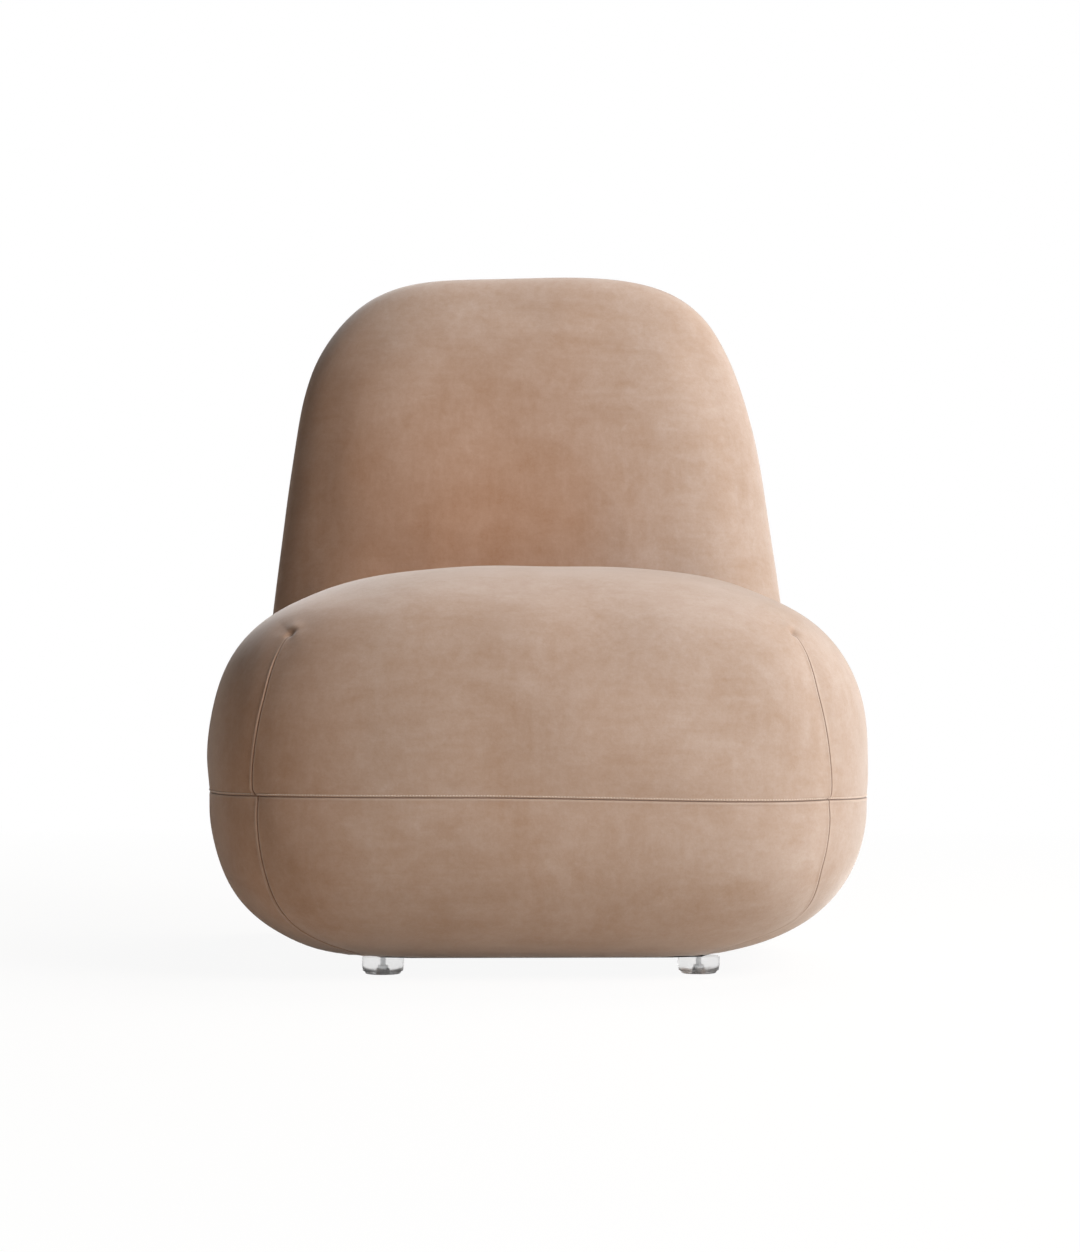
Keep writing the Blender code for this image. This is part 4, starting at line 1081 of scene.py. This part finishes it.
# Glides: turned plastic feet that taper to the floor, closed round the screw's recess
glide = {
    "sides": 72,
    "height": 0.018,
    "radius": 0.022,
    "foot": 0.019,
    "footRound": 0.0024,
    "topRound": 0.0012,
    "taper": ((0.0211, 0.0034), (0.0218, 0.0078), (0.0220, 0.0086)),
    "recess": ((0.00496, 0.0065), (0.0062, 0.0061), (0.0062, 0.0005), (0.0068, 0.0)),
}


# A profile of radii and heights, from inside the recess round to the top's middle, turned round the axis
def glidePiece(name):
    low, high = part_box(name)
    height, footRound, topRound = glide["height"], glide["footRound"], glide["topRound"]
    turn = np.linspace(0, np.pi / 2, 7)
    lower = np.stack([glide["foot"] - footRound * (1 - np.sin(turn)), footRound * (1 - np.cos(turn))], -1)
    upper = np.stack([glide["radius"] - topRound * (1 - np.cos(turn)), height - topRound * (1 - np.sin(turn))], -1)
    bottom, top = (0.0, glide["recess"][0][1]), (0.0, height)
    profile = np.concatenate([[bottom], glide["recess"], lower, glide["taper"], upper, [top]])
    angle = np.arange(glide["sides"]) * 2 * np.pi / glide["sides"]
    ring = np.stack([np.cos(angle), np.sin(angle)], -1)
    middle = np.array([(low.x + high.x) / 2, (low.y + high.y) / 2])
    inner = profile[1:-1]
    around = np.empty((len(inner), len(angle), 3))
    around[..., :2] = middle + inner[:, None, :1] * ring
    around[..., 2] = inner[:, None, 1] + low.z
    ends = np.array([[*middle, profile[0, 1] + low.z], [*middle, height + low.z]])
    points = np.concatenate([around.reshape(-1, 3), ends])
    count = len(angle)
    index = np.arange(len(inner) * count).reshape(len(inner), count)
    index = np.concatenate([index, index[:, :1]], 1)
    quads = np.stack([index[:-1, :-1], index[:-1, 1:], index[1:, 1:], index[1:, :-1]], -1).reshape(-1, 4)
    first, last = len(points) - 2, len(points) - 1
    faces = [quads, fan(first, index[0, 1:], index[0, :-1]), fan(last, index[-1, :-1], index[-1, 1:])]
    addPiece("turned_" + name, fillMesh(name, points, faces), glideSkin, "glide", name)


for name in ("glide_front_left", "glide_front_right", "glide_rear_left", "glide_rear_right"):
    glidePiece(name)
print("glides turned")

# Floor, light and camera
studio = {
    "lamps": {
        "key": {"at": (2.4, -2.4, 2.4), "power": 150.0, "size": 2.4},
        "side": {"at": (3.4, -0.6, 2.2), "power": 70.0, "size": 2.4},
        "crown": {"at": (1.2, 1.5, 3.1), "power": 74.0, "size": 2.4},
    },
    "aimedAt": (0, -0.1, 0.4),
    "worldLight": 0.03,
    "floorReach": 9,
    "floorWhite": 0.93,  # how much of the floor is plain white to the camera near the chair
    "whiteFrom": (0.9, 3.2),  # the distances between which the rest of it turns white
}


# A round lamp that faces the chair
def aimedLight(name, at, power, size):
    lamp = bpy.data.lights.new(name, "AREA")
    lamp.shape = "DISK"
    lamp.size = size
    lamp.energy = power
    holder = addObject(name, lamp)
    holder.location = at
    away = holder.location - type(holder.location)(studio["aimedAt"])
    holder.rotation_euler = away.to_track_quat("Z", "Y").to_euler()


# 1 for a ray that sees the background itself, straight or in gloss or through glass, and else 0
def seesWhite(board):
    straight, gloss, glass = (
        board.node("ShaderNodeLightPath", output="Is " + ray + " Ray") for ray in ("Camera", "Glossy", "Transmission")
    )
    return board.node("ShaderNodeMath", {"operation": "ADD", "use_clamp": True}, {0: straight + gloss, 1: glass})


# A flat square of even quads, which to the camera turns white away from the chair
def floorPiece():
    lines = np.linspace(-studio["floorReach"], studio["floorReach"], 13)
    x, y = np.meshgrid(lines, lines, indexing="ij")
    points = np.stack([x, y, np.zeros_like(x)], -1).reshape(-1, 3)
    index = np.arange(len(points)).reshape(x.shape)
    mesh = fillMesh("floor", points, [gridQuads(index, points, np.array([0, 0, -5.0]))])
    paint = Paint("pale floor", {"Roughness": 0.9, "Specular IOR Level": 0.1})
    mottle = paint.cloud(paint.place(), 0.6, 2.0)
    paint.finish(paint.blend(0.5 + mottle * 0.1, *shades["floor"]))
    glow = paint.node("ShaderNodeEmission", None, {"Color": (1, 1, 1, 1), "Strength": 1.0})
    reach = paint.node("ShaderNodeVectorMath", {"operation": "LENGTH"}, {0: paint.place()}, "Value")
    distant = paint.ramp(reach, *studio["whiteFrom"])
    white = seesWhite(paint) * (studio["floorWhite"] + distant * (1 - studio["floorWhite"]))
    paint.show(white, Wire(paint, paint.shader.outputs[0]), glow)
    mesh.materials.append(paint.material)
    addObject("floor", mesh)


# Dim on the chair, and white to the camera
def worldLight():
    world = bpy.data.worlds.new("studio")
    bpy.context.scene.world = world
    board = Board(world)
    board.tree.nodes.remove(board.tree.nodes["Background"])
    dim, bright = (
        board.node("ShaderNodeBackground", None, {"Color": (1, 1, 1, 1), "Strength": strength})
        for strength in (studio["worldLight"], 1.0)
    )
    board.show(seesWhite(board), dim, bright)


shot = {
    "distance": 3.65,
    "turn": 0.0258,  # round the chair, in radians
    "height": 0.3135,
    "pitch": 0.838,  # upward, in degrees
    "lens": 96.33,  # in millimetres
    "sensor": 36,  # in millimetres
    "shiftX": 0.0016,
}


# Stands on a circle round the seat's middle and looks in towards it, pitched a little upward
def camera():
    eye = bpy.data.cameras.new("camera")
    eye.lens = shot["lens"]
    eye.sensor_width = shot["sensor"]
    eye.shift_x = shot["shiftX"]
    holder = addObject("camera", eye)
    turn, distance = shot["turn"], shot["distance"]
    holder.location = (-distance * math.sin(turn), seatMiddleY - distance * math.cos(turn), shot["height"])
    holder.rotation_euler = (math.radians(90 + shot["pitch"]), 0, -turn)
    bpy.context.scene.camera = holder


floorPiece()
worldLight()
for lampName, lampIs in studio["lamps"].items():
    aimedLight(lampName, **lampIs)
camera()
bpy.context.scene.view_settings.view_transform = "Standard"
print("studio ready")
